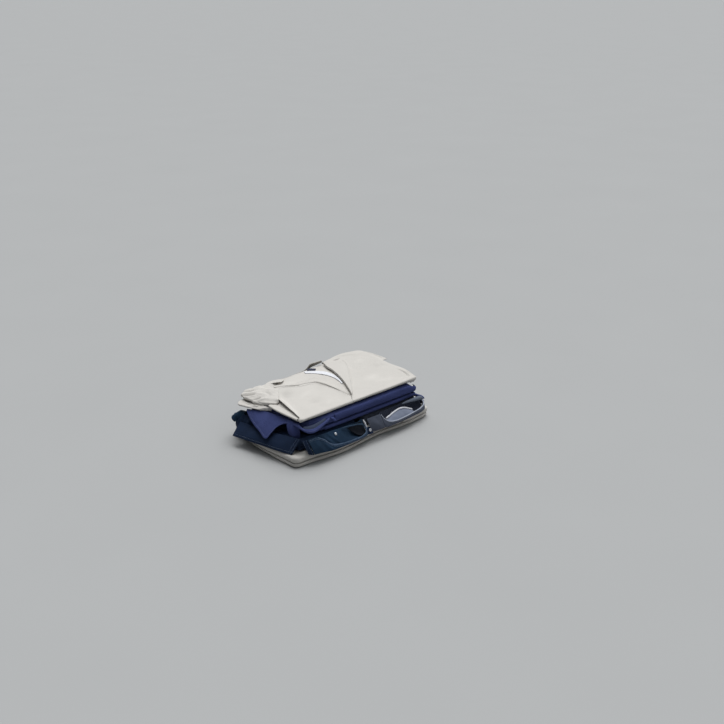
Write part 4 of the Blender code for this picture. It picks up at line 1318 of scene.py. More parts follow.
COAT_TOP = Level(26.5, many(Swell, (-190, -100, 50, 40, 2), (120, 60, 90, 60, -1.2)))
LOWER_TOP = Level(61, many(Swell, (-60, 20, 60, 60, 1.2), (170, -60, 60, 60, -1.2)))
NAVY_TOP = Level(102.6, many(Swell, (0, 30, 120, 60, 0.8), (214, -104, 26, 34, -12)))
STONE_LOW = NAVY_TOP.raised(2.2 * MM)
STONE_TOP = Level(115.5, many(Swell, (60, 40, 90, 60, 0.8), (-190, -80, 60, 40, -0.8),
    (226, -100, 20, 30, -4.5)))
STONE_INSIDE = Level(112.9, many(Swell, (60, 40, 90, 60, 0.8), (-188, -10, 30, 62, -4),
    (226, -100, 22, 32, -5), (-7.5, -52, 4.5, 26, -4.5), (-49, 62.5, 15, 4, -4)))


# ---- coat at the bottom

@dataclass
class StoneCoat:
    """The folded coat that the pile rests on: hidden layers, rolled front and turned hem."""

    plan: Plan = Plan(-241, 236, -128, 152, 14)
    bulges: tuple[Bulge, ...] = many(Bulge, (-90, -128, 85, 14), (150, -128, 75, 8), (-241, 0, 80, 7),
        (60, 152, 90, 5), (236, 20, 60, 4), (-241, 152, 45, -9))
    turns: tuple[Turn, ...] = many(Turn, (0, 14, 19, 11, 12), (0.1, 5, 9, 4, 4.5), (0.26, 0.8, 1, 1, 0.8),
        (0.4, 1.2, 1.5, 1.5, 1.2), (0.5, 10, 9, 8, 7), (0.6, 1.8, 3, 3, 1.6), (0.8, 0.6, 1.5, 2, 0.6),
        (0.94, 1.6, 3, 4, 2), (1, 5, 7, 8, 5))

    def build(self) -> None:
        """Build the coat's pieces from the hidden layers outwards."""
        coat = Packet(self.plan, self.bulges, self.turns, Level(0.0), COAT_TOP)
        layers = Layers(((0.17, 0.9, 0.035, 0.02), (0.31, 0.7, 0.03, 0.025), (0.7, 0.8, 0.035, 0.02),
            (0.86, 0.7, 0.03, 0.02)), seed=4)
        coat.body("coat_body", COAT, layers, Folds(ripple=0.35, seed=5), flat_foot=True)
        long_drag = ((0.05, 0.5, 0.33, 0.62, 5, 0.7, 2), (0.3, 0.35, 0.62, 0.5, 6, 0.8, -3),
            (0.55, 0.6, 0.9, 0.42, 5, 0.6, 2), (0.7, 0.75, 0.98, 0.7, 7, 0.7))
        Sheet("coat_front_cloth", coat.skin((-241, 70), (120, -138), 5, 8, 0.12), Folds(long_drag,
            crumple=0.18, seed=6)).build(COAT)
        Sheet("coat_facing_cloth", coat.skin((128, -136), (238, 50), 5, 8, 0.12),
            Folds(((0.1, 0.4, 0.6, 0.6, 5, 0.6),), ripple=0.45, crumple=0.15, seed=7),
            seams=(Seam(Edge.START, 4),)).build(COAT)
        Sheet("coat_back_cloth", coat.skin((210, 154), (-200, 152), 5, 8, 0.12),
            Folds(((0.1, 0.4, 0.4, 0.6, 6, 0.8), (0.5, 0.6, 0.85, 0.35, 6, 0.8)), crumple=0.15,
            seed=8)).build(COAT)
        Sheet("coat_hem_cloth", coat.skin((-243, -40), (215, -130), 1, 3, 0),
            Folds(((0.2, 0.3, 0.5, 0.5, 4, 0.5), (0.6, 0.6, 0.8, 0.3, 4, 0.5)), ripple=0.3, seed=9),
            seams=(Seam(Edge.FOOT, 2.6),)).build(COAT)


# ---- petrol jacket

LOWER_TURNS = many(Turn, (0, 8, 8, 8, 12), (0.14, 3, 3, 3, 7), (0.28, 1, 1, 1, 5), (0.44, 3, 3, 6, 8),
    (0.6, 1, 1, 1, 4), (0.84, 3, 3, 3, 6), (1, 9, 9, 9, 12))
DOME = ((0.9, 0.0), (1.0, 0.3), (0.97, 0.7), (0.75, 1.0), (0.45, 1.15), (0.05, 1.2))
DISHED = ((0.88, 0.0), (1.0, 0.3), (1.0, 0.75), (0.86, 1.0), (0.62, 0.86), (0.3, 0.8), (0.04, 0.8))


@dataclass
class PetrolJacket:
    """The dark jacket at the lower left, its skirt hanging over the end and its pocket gaping."""

    plan: Plan = Plan(-222, -14, -110, 132, 16)
    bulges: tuple[Bulge, ...] = many(Bulge, (-222, 40, 60, -4), (-120, 132, 60, 3))
    skirt: tuple[Drop, ...] = many(Drop, (-209, -110, 66, -236, -105, 30.5, 2),
        (-219, -65, 63, -247, -60, 29.5, 4), (-232, -10, 59, -258, -6, 28.5, 5),
        (-241, 48, 57, -268, 48, 27.5, 4), (-246, 97, 55, -277, 90, 27, 2))
    seam: tuple[Drop, ...] = many(Drop, (-214, -121, 67, -204, -135, 31.5, 1),
        (-209, -125, 67.5, -199, -140, 31, 2), (-203.5, -127, 68, -194.5, -143, 30.5, 1))
    front: tuple[Drop, ...] = many(Drop, (-198, -123, 67, -190, -138, 31, 2),
        (-160, -122, 65, -158, -140, 31, 3), (-118, -121, 63.5, -118, -144, 29, 3),
        (-80, -120, 61, -80, -146, 28, 0), (-45, -118, 59, -45, -146, 28, -9),
        (-17, -116, 57, -17, -141, 28, -7), (-7, -111, 57, -7, -134, 28, -3), (0, -109, 57, 0, -122, 29, 0))
    pocket: tuple[Drop, ...] = many(Drop, (-202, -129.5, 68, -193, -144.5, 31, 3),
        (-172, -131, 67, -168, -149, 30.5, 4), (-154, -137, 57, -153, -152, 29.5, 3),
        (-140, -144.5, 44, -139, -153.5, 28.7, 2), (-98, -149.5, 33.5, -98, -153.5, 27.5, 0.5),
        (-60, -149.5, 31.5, -60, -152, 27, 0.2), (-30, -148, 32, -30, -150.5, 27, 0.2),
        (-15, -143.5, 36, -14, -147, 27.5, 0.3), (-10, -137, 43, -9.5, -143, 28, 0.3),
        (-6, -130, 48, -4, -139, 29, 0.2))
    # A dark sheet just in front of the pocket's wall, standing for the shade in its gaping mouth: painted
    # shade.
    bag: tuple[Drop, ...] = many(Drop, (-66, -126.5, 56, -63, -128.5, 53.5, 0),
        (-57, -126, 57, -50, -138, 41, -1), (-42, -123.5, 57, -39, -143, 34, -4),
        (-22, -119.5, 56.5, -21, -144, 31, -6.5), (-9, -114, 52, -8, -137, 33, -2))
    lap: tuple[Drop, ...] = many(Drop, (-12, -135, 44, -11, -146, 28.5, 0),
        (-3, -136, 44, -1, -148.5, 28, 0), (5, -137, 42, 7, -148, 28.5, 0))
    rim: tuple[Bead, ...] = many(Bead, (-84, -125.5, 63.5, 1.4), (-52, -128.5, 61, 1.8),
        (-27, -131, 57.5, 1.9), (-15, -133.5, 53, 1.8), (-11.5, -136.5, 47.5, 1.5))
    snap: Bead = Bead(-110.5, -130.4, 57.0, 3.7)
    placket: tuple[Hang, ...] = many(Hang, (-7.4, 121, 60, 134, 42, 1), (-5.8, 124, 60, 137, 42, 2),
        (-4.2, 121, 60, 134, 42, 1))
    button: Bead = Bead(-2.2, -144.8, 38.0, 4.2)
    cuff: tuple[Bead, ...] = many(Bead, (-214, 104, 71, 6.5), (-227, 111, 67, 10), (-237, 120, 60, 12),
        (-240, 126, 51, 11), (-236, 126, 43, 7))
    sleeve_end: tuple[Hang, ...] = many(Hang, (36, 222, 60, 236, 31, 2), (66, 226, 66, 242, 33, 4),
        (96, 230, 70, 246, 34, 6), (122, 226, 68, 242, 33, 5), (143, 214, 60, 228, 31, 2))
    sleeve: tuple[Hang, ...] = many(Hang, (-190, 138, 57, 144, 31, 3), (-140, 140, 59, 149, 30, 5),
        (-80, 140, 59, 148, 30, 3), (-30, 138, 58, 144, 30, 4))

    def build(self) -> None:
        """Build the jacket's pieces from the hidden layers outwards."""
        low = COAT_TOP.raised(CLOTH + 2 * ROOMY)
        petrol = Packet(self.plan, self.bulges, LOWER_TURNS, low, LOWER_TOP)
        layers = Layers(((0.12, 0.9, 0.03, 0.02), (0.44, 1, 0.03, 0.03), (0.7, 0.9, 0.03, 0.02)), seed=14)
        petrol.body("petrol_body", PETROL, layers, Folds(ripple=0.7, crumple=0.2, seed=15))
        Sheet("petrol_skirt_cloth", draped(self.skirt, 26, 110), Folds(((0.08, 0.1, 0.3, 0.95, 9, 0.9, 4),
            (0.42, 0, 0.5, 0.9, 8, 1.1, -4), (0.66, 0.1, 0.78, 1, 10, 1, 3),
            (0.2, 0.5, 0.9, 0.35, 12, 0.7, 6)), ripple=0.7, crumple=0.18, seed=16),
            hems=(Edge.FOOT, Edge.START), hem_wide=12, seams=(Seam(Edge.START, 4), Seam(Edge.START, 11),
            Seam(Edge.FOOT, 6)), held="draped").build(PETROL)
        Sheet("petrol_seam_cloth", draped(self.seam, 26, 12), Folds(ripple=0.25, seed=17),
            seams=(Seam(Edge.START, 2.5), Seam(Edge.END, 2.5)), thick=HEM).build(PETROL)
        Sheet("petrol_front_cloth", draped(self.front, 26, 100), Folds(((0.5, 0.2, 0.9, 0.5, 6, 0.9, 3),
            (0.6, 0.6, 0.95, 0.8, 6, -0.9), (0.13, 0, 0.26, 1, 2.6, 1.3, 1),
            (0.18, 0, 0.31, 1, 2.6, -1.3, 1), (0.23, 0, 0.36, 1, 2.6, 1.3, 1),
            (0.28, 0, 0.41, 1, 2.6, -1.2, 1), (0.33, 0.05, 0.46, 1, 2.8, 1, 1)), crumple=0.25,
            seed=18)).build(PETROL_LIT_FACE)
        Sheet("petrol_pocket_cloth", draped(self.pocket, 26, 120),
            Folds(((0.06, 0.05, 0.16, 0.95, 4, 0.8, 2), (0.13, 0, 0.24, 0.9, 4, -0.8, 2),
            (0.19, 0, 0.32, 0.9, 4, 0.9, 2), (0.27, 0.1, 0.38, 0.9, 4, -0.7, 2),
            (0.4, 0.3, 0.9, 0.6, 5, 0.5, 1)), ripple=0.3, crumple=0.15, seed=19), hems=(Edge.TOP,),
            hem_wide=6, hem_rise=0.4, seams=(Seam(Edge.TOP, 2.2), Seam(Edge.TOP, 5.4)), held="draped",
            rests_on="petrol_front").build(PETROL_LIT_FACE)
        # Painted shade: a near-black sheet in the pocket's mouth.
        Sheet("petrol_pocket_bag_cloth", draped(self.bag, 16, 40), Folds(ripple=0.3, seed=24), held="draped",
            rests_on="petrol_front").build(PETROL_SHADE)
        edge_roll("petrol_pocket_lip_cloth", self.pocket[1:], 1.2).build(PETROL_EDGE)
        Roll("petrol_pocket_rim_cloth", self.rim, sides=20, cell=1 * MM).build(PETROL_RIM)
        Disc("petrol_snap_metal", self.snap, (0, -0.83, 0.55), 1.6, DOME).build(SNAP_METAL)
        Sheet("petrol_placket_cloth", hanging(Side.FRONT, self.placket, 30, 9),
            Folds(((0.5, 0.2, 0.6, 0.6, 3, 0.4),), ripple=0.3, ripple_size=20, seed=20),
            seams=(Seam(Edge.START, 1.3),), rests_on="petrol_front").build(WHITE)
        Sheet("petrol_placket_lap_cloth", draped(self.lap, 12, 24), Folds(ripple=0.2, seed=25)).build(PETROL)
        Disc("placket_button_resin", self.button, (0, -1, 0.3), 2, DISHED).build(BUTTON_RESIN)
        Roll("petrol_cuff_cloth", self.cuff, folds=Folds(((0, 0.2, 0.5, 0.35, 4, 2.6),
            (0.1, 0.42, 0.6, 0.5, 3.5, -2.6), (0, 0.62, 0.5, 0.7, 4, 2.4), (0.4, 0.1, 0.9, 0.3, 4, -2.2),
            (0.5, 0.5, 1, 0.75, 4, 2.2), (0.3, 0.85, 0.9, 0.95, 4, -2.4)), ripple=1.1, ripple_size=26,
            crumple=0.8, crumple_size=15, seed=21), sides=72).build(PETROL_LIT_FACE)
        Sheet("petrol_sleeve_end_cloth", hanging(Side.LEFT, self.sleeve_end, 34, 90),
            Folds(((0.2, 0, 0.3, 1, 5, -2, 2), (0.35, 0, 0.42, 1, 5, 2.2, 2), (0.5, 0, 0.56, 1, 5, -2.4),
            (0.62, 0, 0.74, 1, 5, 2, 2), (0.82, 0, 0.86, 1, 4, -1.8)), ripple=0.8, ripple_size=30,
            crumple=0.3, seed=23), held="draped").build(PETROL)
        Sheet("petrol_sleeve_cloth", hanging(Side.BACK, self.sleeve, 22, 80),
            Folds(((0.1, 0.2, 0.5, 0.6, 6, 1, 3), (0.55, 0.7, 0.95, 0.3, 6, 1)), ripple=0.8, crumple=0.2,
            seed=22), held="draped").build(PETROL)


# ---- slate jacket

@dataclass
class SlateJacket:
    """The grey-blue jacket at the lower right, its pocket gaping over a ribbed wall and a pale lining."""

    plan: Plan = Plan(2, 212, -106, 138, 16)
    bulges: tuple[Bulge, ...] = (Bulge(120, 138, 60, 3),)
    front: tuple[Hang, ...] = many(Hang, (1, 128, 62, 145, 30.5, 3), (16, 129, 62.5, 147, 30.5, 4),
        (34, 129, 62.5, 148, 30, 3), (49, 128, 62, 148, 30, 2))
    pocket: tuple[Drop, ...] = many(Drop, (50.5, -130, 61, 50.5, -149, 30, 2),
        (55, -135, 51, 55, -150, 29.5, 2), (66, -142, 41, 66, -150.5, 29.2, 1),
        (92, -146, 35.5, 92, -150, 29, 0.5), (125, -145, 35, 125, -149, 29, 0.5),
        (160, -142, 36, 160, -146, 29, 0.5), (198, -136, 37.5, 198, -141, 29, 0.5),
        (219, -126, 39, 219, -131, 29, 0.5), (228, -115, 41.5, 229, -118, 29, 0.5),
        (231.5, -103, 44, 233, -105, 29.5, 0.3), (231, -91, 48, 233, -93, 30, 0))
    inner: tuple[Drop, ...] = many(Drop, (54, -117, 60, 56, -134, 31, 1), (90, -116, 60, 90, -131, 31, 0.5),
        (130, -114, 59.5, 130, -129, 31, -1), (165, -111, 58, 165, -127, 31, -4),
        (195, -109, 55, 196, -125, 31, -4), (214, -106, 52, 217, -117, 31, -2),
        (222, -101, 50, 226, -108, 31, 0), (227, -93, 50, 230, -98, 30, 0),
        (229.5, -83, 51, 231.5, -87, 30, 0))
    lining: tuple[Hang, ...] = many(Hang, (68, 131.5, 41.5, 144, 33, 1), (82, 130.5, 45, 145.5, 32, 1.5),
        (100, 128.5, 49.5, 145, 32, 2), (126, 126, 52, 144, 32, 2), (144, 126, 48.5, 142, 32, 2),
        (158, 128, 42.5, 140, 33, 1.5), (170, 131, 37, 137, 34, 0.5))
    tape_lift: float = 2.6
    tape_radius: float = 2.3
    top_fold: tuple[Bead, ...] = many(Bead, (138, -121, 62.5, 1.6), (170, -120.5, 61.8, 3.6),
        (198, -120, 59.8, 5.2), (216, -116, 55.4, 5.4), (227, -113, 48.5, 3.4))
    tab_upper: tuple[Bead, ...] = many(Bead, (213, -80, 57, 3), (224, -93, 54, 3.6), (232, -104, 50, 4.2),
        (237, -112, 46, 2.8))
    tab_lower: tuple[Bead, ...] = many(Bead, (220, -80, 42, 3), (228, -91, 40, 3.6), (235, -101, 37.5, 4),
        (240, -108, 35, 2.8))
    end: tuple[Hang, ...] = many(Hang, (-82, 218, 56, 224, 32, 3), (-30, 219, 59, 229, 31, 6),
        (40, 219, 58, 228, 31, 3), (100, 218, 59, 230, 31, 5), (132, 214, 56, 224, 31, 2))
    back: tuple[Hang, ...] = many(Hang, (206, 144, 57, 150, 31, 2), (150, 145, 59, 156, 30, 4),
        (90, 145, 58, 153, 31, 2), (30, 144, 59, 155, 30, 5), (-12, 143, 56, 150, 31, 2))

    def build(self) -> None:
        """Build the jacket's pieces from the hidden layers outwards."""
        low = COAT_TOP.raised(CLOTH + 2 * ROOMY)
        slate = Packet(self.plan, self.bulges, LOWER_TURNS, low, LOWER_TOP)
        layers = Layers(((0.12, 0.9, 0.03, 0.02), (0.44, 1, 0.03, 0.03), (0.72, 0.9, 0.03, 0.02)), seed=24)
        slate.body("slate_body", SLATE, layers, Folds(ripple=0.6, crumple=0.2, seed=25))
        Sheet("slate_front_cloth", hanging(Side.FRONT, self.front, 26, 30),
            Folds(((0.15, 0.05, 0.75, 0.8, 6, 0.9, 3), (0.5, 0, 0.95, 0.5, 5, -0.7, 2)), crumple=0.15,
            seed=26), seams=(Seam(Edge.START, 3), Seam(Edge.END, 3.2))).build(SLATE)
        Sheet("slate_pocket_cloth", draped(self.pocket, 20, 130), Folds(((0.1, 0.2, 0.35, 0.8, 4, 0.5),
            (0.5, 0.3, 0.75, 0.7, 4, 0.4)), ripple=0.3, crumple=0.12, seed=27), hems=(Edge.TOP,), hem_wide=5,
            hem_rise=0.4, seams=(Seam(Edge.TOP, 2), Seam(Edge.TOP, 4.6)), held="draped",
            rests_on="slate_lining").build(SLATE)
        edge_roll("slate_pocket_lip_cloth", self.pocket, 1.7).build(SLATE_EDGE)
        # The ribbed wall in a darker rib knit, partly painted shade inside the pocket's mouth.
        Sheet("slate_inner_cloth", draped(self.inner, 22, 130), Folds(((0.3, 0, 0.4, 1, 6, -0.5),),
            ripple=0.2, rib_pitch=6.2, rib_height=0.95, seed=28)).build(SLATE_RIB)
        Sheet("slate_lining_cloth", hanging(Side.FRONT, self.lining, 16, 80),
            Folds(((0.2, 0.1, 0.35, 0.9, 5, 0.8), (0.55, 0.2, 0.7, 1, 5, -0.7)), ripple=0.4, ripple_size=40,
            crumple=0.15, seed=29), rests_on="slate_inner").build(LINING)
        arch = tuple(Bead(h.along, -h.top_out, h.top_z + self.tape_lift, self.tape_radius)
                     for h in self.lining)
        Roll("slate_binding_tape", arch, sides=18, cell=1 * MM).build(WHITE)
        # Painted light: the top fold in a lighter copy of the slate cloth.
        Roll("slate_top_fold_cloth", self.top_fold, folds=Folds(((0.3, 0.1, 0.6, 0.9, 3, 0.6),), ripple=0.3,
            ripple_size=22, seed=30)).build(SLATE_LIT_FOLD)
        for side, beads, seed in (("upper", self.tab_upper, 31), ("lower", self.tab_lower, 32)):
            wrinkled = Folds(ripple=0.4, ripple_size=9, seed=seed)
            Roll(f"slate_tab_{side}_cloth", beads, folds=wrinkled).build(NAVY)
        Sheet("slate_end_cloth", hanging(Side.RIGHT, self.end, 20, 100),
            Folds(((0.1, 0.2, 0.4, 0.7, 7, 0.9, 3), (0.5, 0.6, 0.85, 0.3, 7, 1, -3)), ripple=0.7,
            crumple=0.2, seed=33), held="draped").build(SLATE)
        Sheet("slate_back_cloth", hanging(Side.BACK, self.back, 20, 100),
            Folds(((0.08, 0.3, 0.4, 0.5, 7, 1, 4), (0.5, 0.7, 0.9, 0.35, 7, 0.9)), ripple=0.7, crumple=0.2,
            seed=34), held="draped").build(SLATE)


# ---- navy jacket

@dataclass
class NavyJacket:
    """The navy jacket: two rolls along its front, a collar point over the left end, a swagged hem."""

    plan: Plan = Plan(-190, 211, -111, 138, 16)
    bulges: tuple[Bulge, ...] = many(Bulge, (-190, -111, 40, -10), (100, 138, 80, 3))
    turns: tuple[Turn, ...] = many(Turn, (0, 11, 11, 10, 11), (0.07, 5, 5, 5, 5), (0.17, 1.8, 2, 2, 2),
        (0.27, 3.4, 8, 3, 3), (0.35, 13, 21, 11, 10), (0.43, 5, 15, 5, 5), (0.6, 1, 6, 2, 2),
        (0.8, 0.8, 1.5, 3, 3.5), (0.93, 3, 4, 6, 6), (1, 9, 9, 11, 11))
    end_hollow: float = 9.0
    upper_tip: float = 0.6
    tip_share: float = 0.16
    tip_start: float = 0.84
    collar: tuple[Drop, ...] = many(Drop, (-230, 86, 91, -234, 84, 88, 0), (-219, 60, 93.5, -243, 54, 74, 2),
        (-208, 30, 95, -249, 14, 61, 3), (-203, -8, 96, -252, -25, 53, 2),
        (-202, -24, 96.5, -239, -28, 65, 2), (-201.5, -38, 97, -224, -33, 79, 1),
        (-201, -54, 97.3, -213, -44, 88, 1), (-201, -72, 98, -206, -62, 93.5, 0.5))
    tube: tuple[Drop, ...] = many(Drop, (-196, -40, 98, -200, -62, 66, 0), (-200, -44, 98, -205, -65, 63, 3),
        (-202, -54, 98.5, -209, -71, 60, 7), (-202, -64, 99, -210, -77, 59, 8),
        (-202, -73, 99, -209, -83, 59, 7), (-201, -81, 99, -205, -88, 60, 4),
        (-198, -85, 99, -200, -91, 62, 1), (-193, -84, 99, -195, -90, 65, 0))
    swag: tuple[Drop, ...] = many(Drop, (-201, -76, 98.8, -206.5, -78, 94.5, 0.5),
        (-203, -98, 99.5, -208, -100, 95.5, 1), (-204, -115, 97, -207, -119, 92, 1),
        (-197.5, -122, 94.5, -199, -127, 87, 1), (-178, -125, 91.5, -178, -130, 84, 1.5),
        (-156, -124, 95, -156, -128, 89, 1.5), (-136, -121, 99, -136, -124.5, 94, 1),
        (-121, -117, 101.3, -121, -120, 97.3, 1))
    lining: tuple[Hang, ...] = many(Hang, (-200, 109, 97.5, 114.5, 92, 0.3), (-188, 112, 96, 119, 89, 1),
        (-172, 113, 95.5, 120.5, 87.5, 1), (-150, 113, 98, 119, 92, 1), (-130, 111.5, 101, 115, 97.5, 0.5))
    knot: tuple[Bead, ...] = many(Bead, (-115, -117, 99.5, 2.6), (-109, -122, 94, 4.6), (-103, -121, 88, 3))
    back_fold: tuple[Hang, ...] = many(Hang, (180, 144, 98, 147, 80, 3), (110, 146, 100, 152, 76, 6),
        (20, 146, 99, 150, 80, 4), (-70, 145, 100, 152, 74, 6), (-150, 142, 97, 147, 79, 3))
    end_fold: tuple[Hang, ...] = many(Hang, (-104, 200, 76, 203, 59, 0), (-86, 208, 79, 212, 59, 0),
        (-58, 214, 88, 218, 63, 1), (-16, 216, 97, 222, 71, 4), (60, 216, 96, 222, 73, 3),
        (116, 214, 95, 219, 72, 2))

    def tapered(self, grid: Array) -> Array:
        """The grid with its low edge rising towards its high one at the right end.

        Args:
            grid: Rows by columns by 3, its first row the lowest.

        Returns:
            The grid, its rows read again between the old ones.
        """
        share = evenly(grid.shape[1])
        lift = self.upper_tip * smooth((share - self.tip_start) / self.tip_share)
        rows = np.arange(len(grid), dtype=float)[:, None]
        rows = rows + (len(grid) - 1 - rows) * lift
        low = np.minimum(rows.astype(int), len(grid) - 2)
        part = (rows - low)[..., None]
        below, above = (np.take_along_axis(grid, (low + k)[..., None], 0) for k in (0, 1))
        return below * (1 - part) + above * part

    def build(self) -> None:
        """Build the jacket's pieces from the hidden layers outwards."""
        navy = Packet(self.plan, self.bulges, self.turns, LOWER_TOP.raised(2.4 * MM), NAVY_TOP)
        layers = Layers(((0.15, 0.8, 0.03, 0.02), (0.66, 0.8, 0.03, 0.03), (0.86, 0.8, 0.03, 0.02)), seed=44)
        core = replace(navy, plan=self.plan._replace(right=self.plan.right - self.end_hollow))
        core.body("navy_body", NAVY, layers, Folds(ripple=0.6, crumple=0.2, seed=45))
        upper = navy.skin((-96, -113), (207, -92), 5, 8, 0.0, ROOMY, FINE)
        Sheet("navy_front_upper_cloth", self.tapered(upper), Folds(((0.02, 0.5, 0.35, 0.35, 5, 0.8, 2),
            (0.3, 0.7, 0.7, 0.45, 5, 0.9, 2), (0.6, 0.3, 0.98, 0.6, 5, 0.8, -2)), ripple=0.4, crumple=0.15,
            seed=46)).build(NAVY)
        lower = navy.skin((-128, -113), (207, -92), 1, 3, 0.0, ROOMY, FINE)
        Sheet("navy_front_lower_cloth", lower, Folds(((0.05, 0.6, 0.4, 0.4, 5, 0.8, 2),
            (0.45, 0.4, 0.8, 0.6, 5, 0.8), (0.75, 0.5, 1, 0.3, 4, -0.7)), ripple=0.4, crumple=0.15,
            seed=47)).build(NAVY)
        Sheet("navy_collar_cloth", draped(self.collar, 34, 110), Folds(((0.15, 0.1, 0.45, 0.9, 9, 0.7, 4),
            (0.5, 0.1, 0.42, 0.9, 8, 0.9, 2)), crumple=0.12, seed=48), hems=(Edge.FOOT,), hem_wide=6,
            hem_rise=0.4, seams=(Seam(Edge.FOOT, 5),), held="draped").build(NAVY)
        Sheet("navy_tube_fold_cloth", draped(self.tube, 40, 110), Folds(((0.3, 0, 0.4, 1, 3.5, 1, 2),
            (0.52, 0, 0.5, 1, 3.5, -1, 2), (0.62, 0.1, 0.66, 1, 3.5, 1)), ripple_size=36, crumple=0.12,
            seed=49), held="draped").build(NAVY)
        Sheet("navy_swag_cloth", draped(self.swag, 14, 110), Folds(((0.4, 0.1, 0.6, 0.9, 5, 0.6),),
            ripple=0.3, crumple=0.1, seed=50), hems=(Edge.FOOT,), hem_wide=5, hem_rise=0.3,
            seams=(Seam(Edge.FOOT, 4.2),), held="draped").build(NAVY)
        Sheet("navy_lining_cloth", hanging(Side.FRONT, self.lining, 10, 50),
            Folds(((0.3, 0, 0.45, 1, 5, 0.6),), ripple=0.3, ripple_size=30, seed=51),
            held="draped").build(NAVY_LINING)
        Roll("navy_knot_cloth", self.knot, folds=Folds(ripple_size=10, seed=52)).build(NAVY)
        Sheet("navy_back_fold_cloth", hanging(Side.BACK, self.back_fold, 16, 150),
            Folds(((0.05, 0.2, 0.35, 0.6, 6, 1, 3), (0.4, 0.7, 0.7, 0.3, 6, 1),
            (0.7, 0.3, 0.95, 0.7, 6, 0.8)), ripple=0.7, crumple=0.2, seed=53), held="draped").build(NAVY)
        Sheet("navy_end_fold_cloth", hanging(Side.RIGHT, self.end_fold, 16, 90),
            Folds(((0.1, 0.2, 0.6, 0.7, 6, 1, 3), (0.6, 0.7, 0.95, 0.3, 6, 0.8)), ripple=0.6, crumple=0.2,
            seed=54), held="draped").build(NAVY)


# ---- stone jacket on top

V_POINT = Spot(-9, -81)
V_RIGHT = (V_POINT, Spot(8, -50), Spot(27, -13), Spot(53, 53), Spot(62, 83), Spot(66, 108), Spot(76, 134))
V_LEFT = many(Spot, (-119, 94), (-92, 78), (-66, 63), (-45, 58), (-25, 52), (-18, 35), (-15, 1),
    (-12.5, -40), (-11, -80))


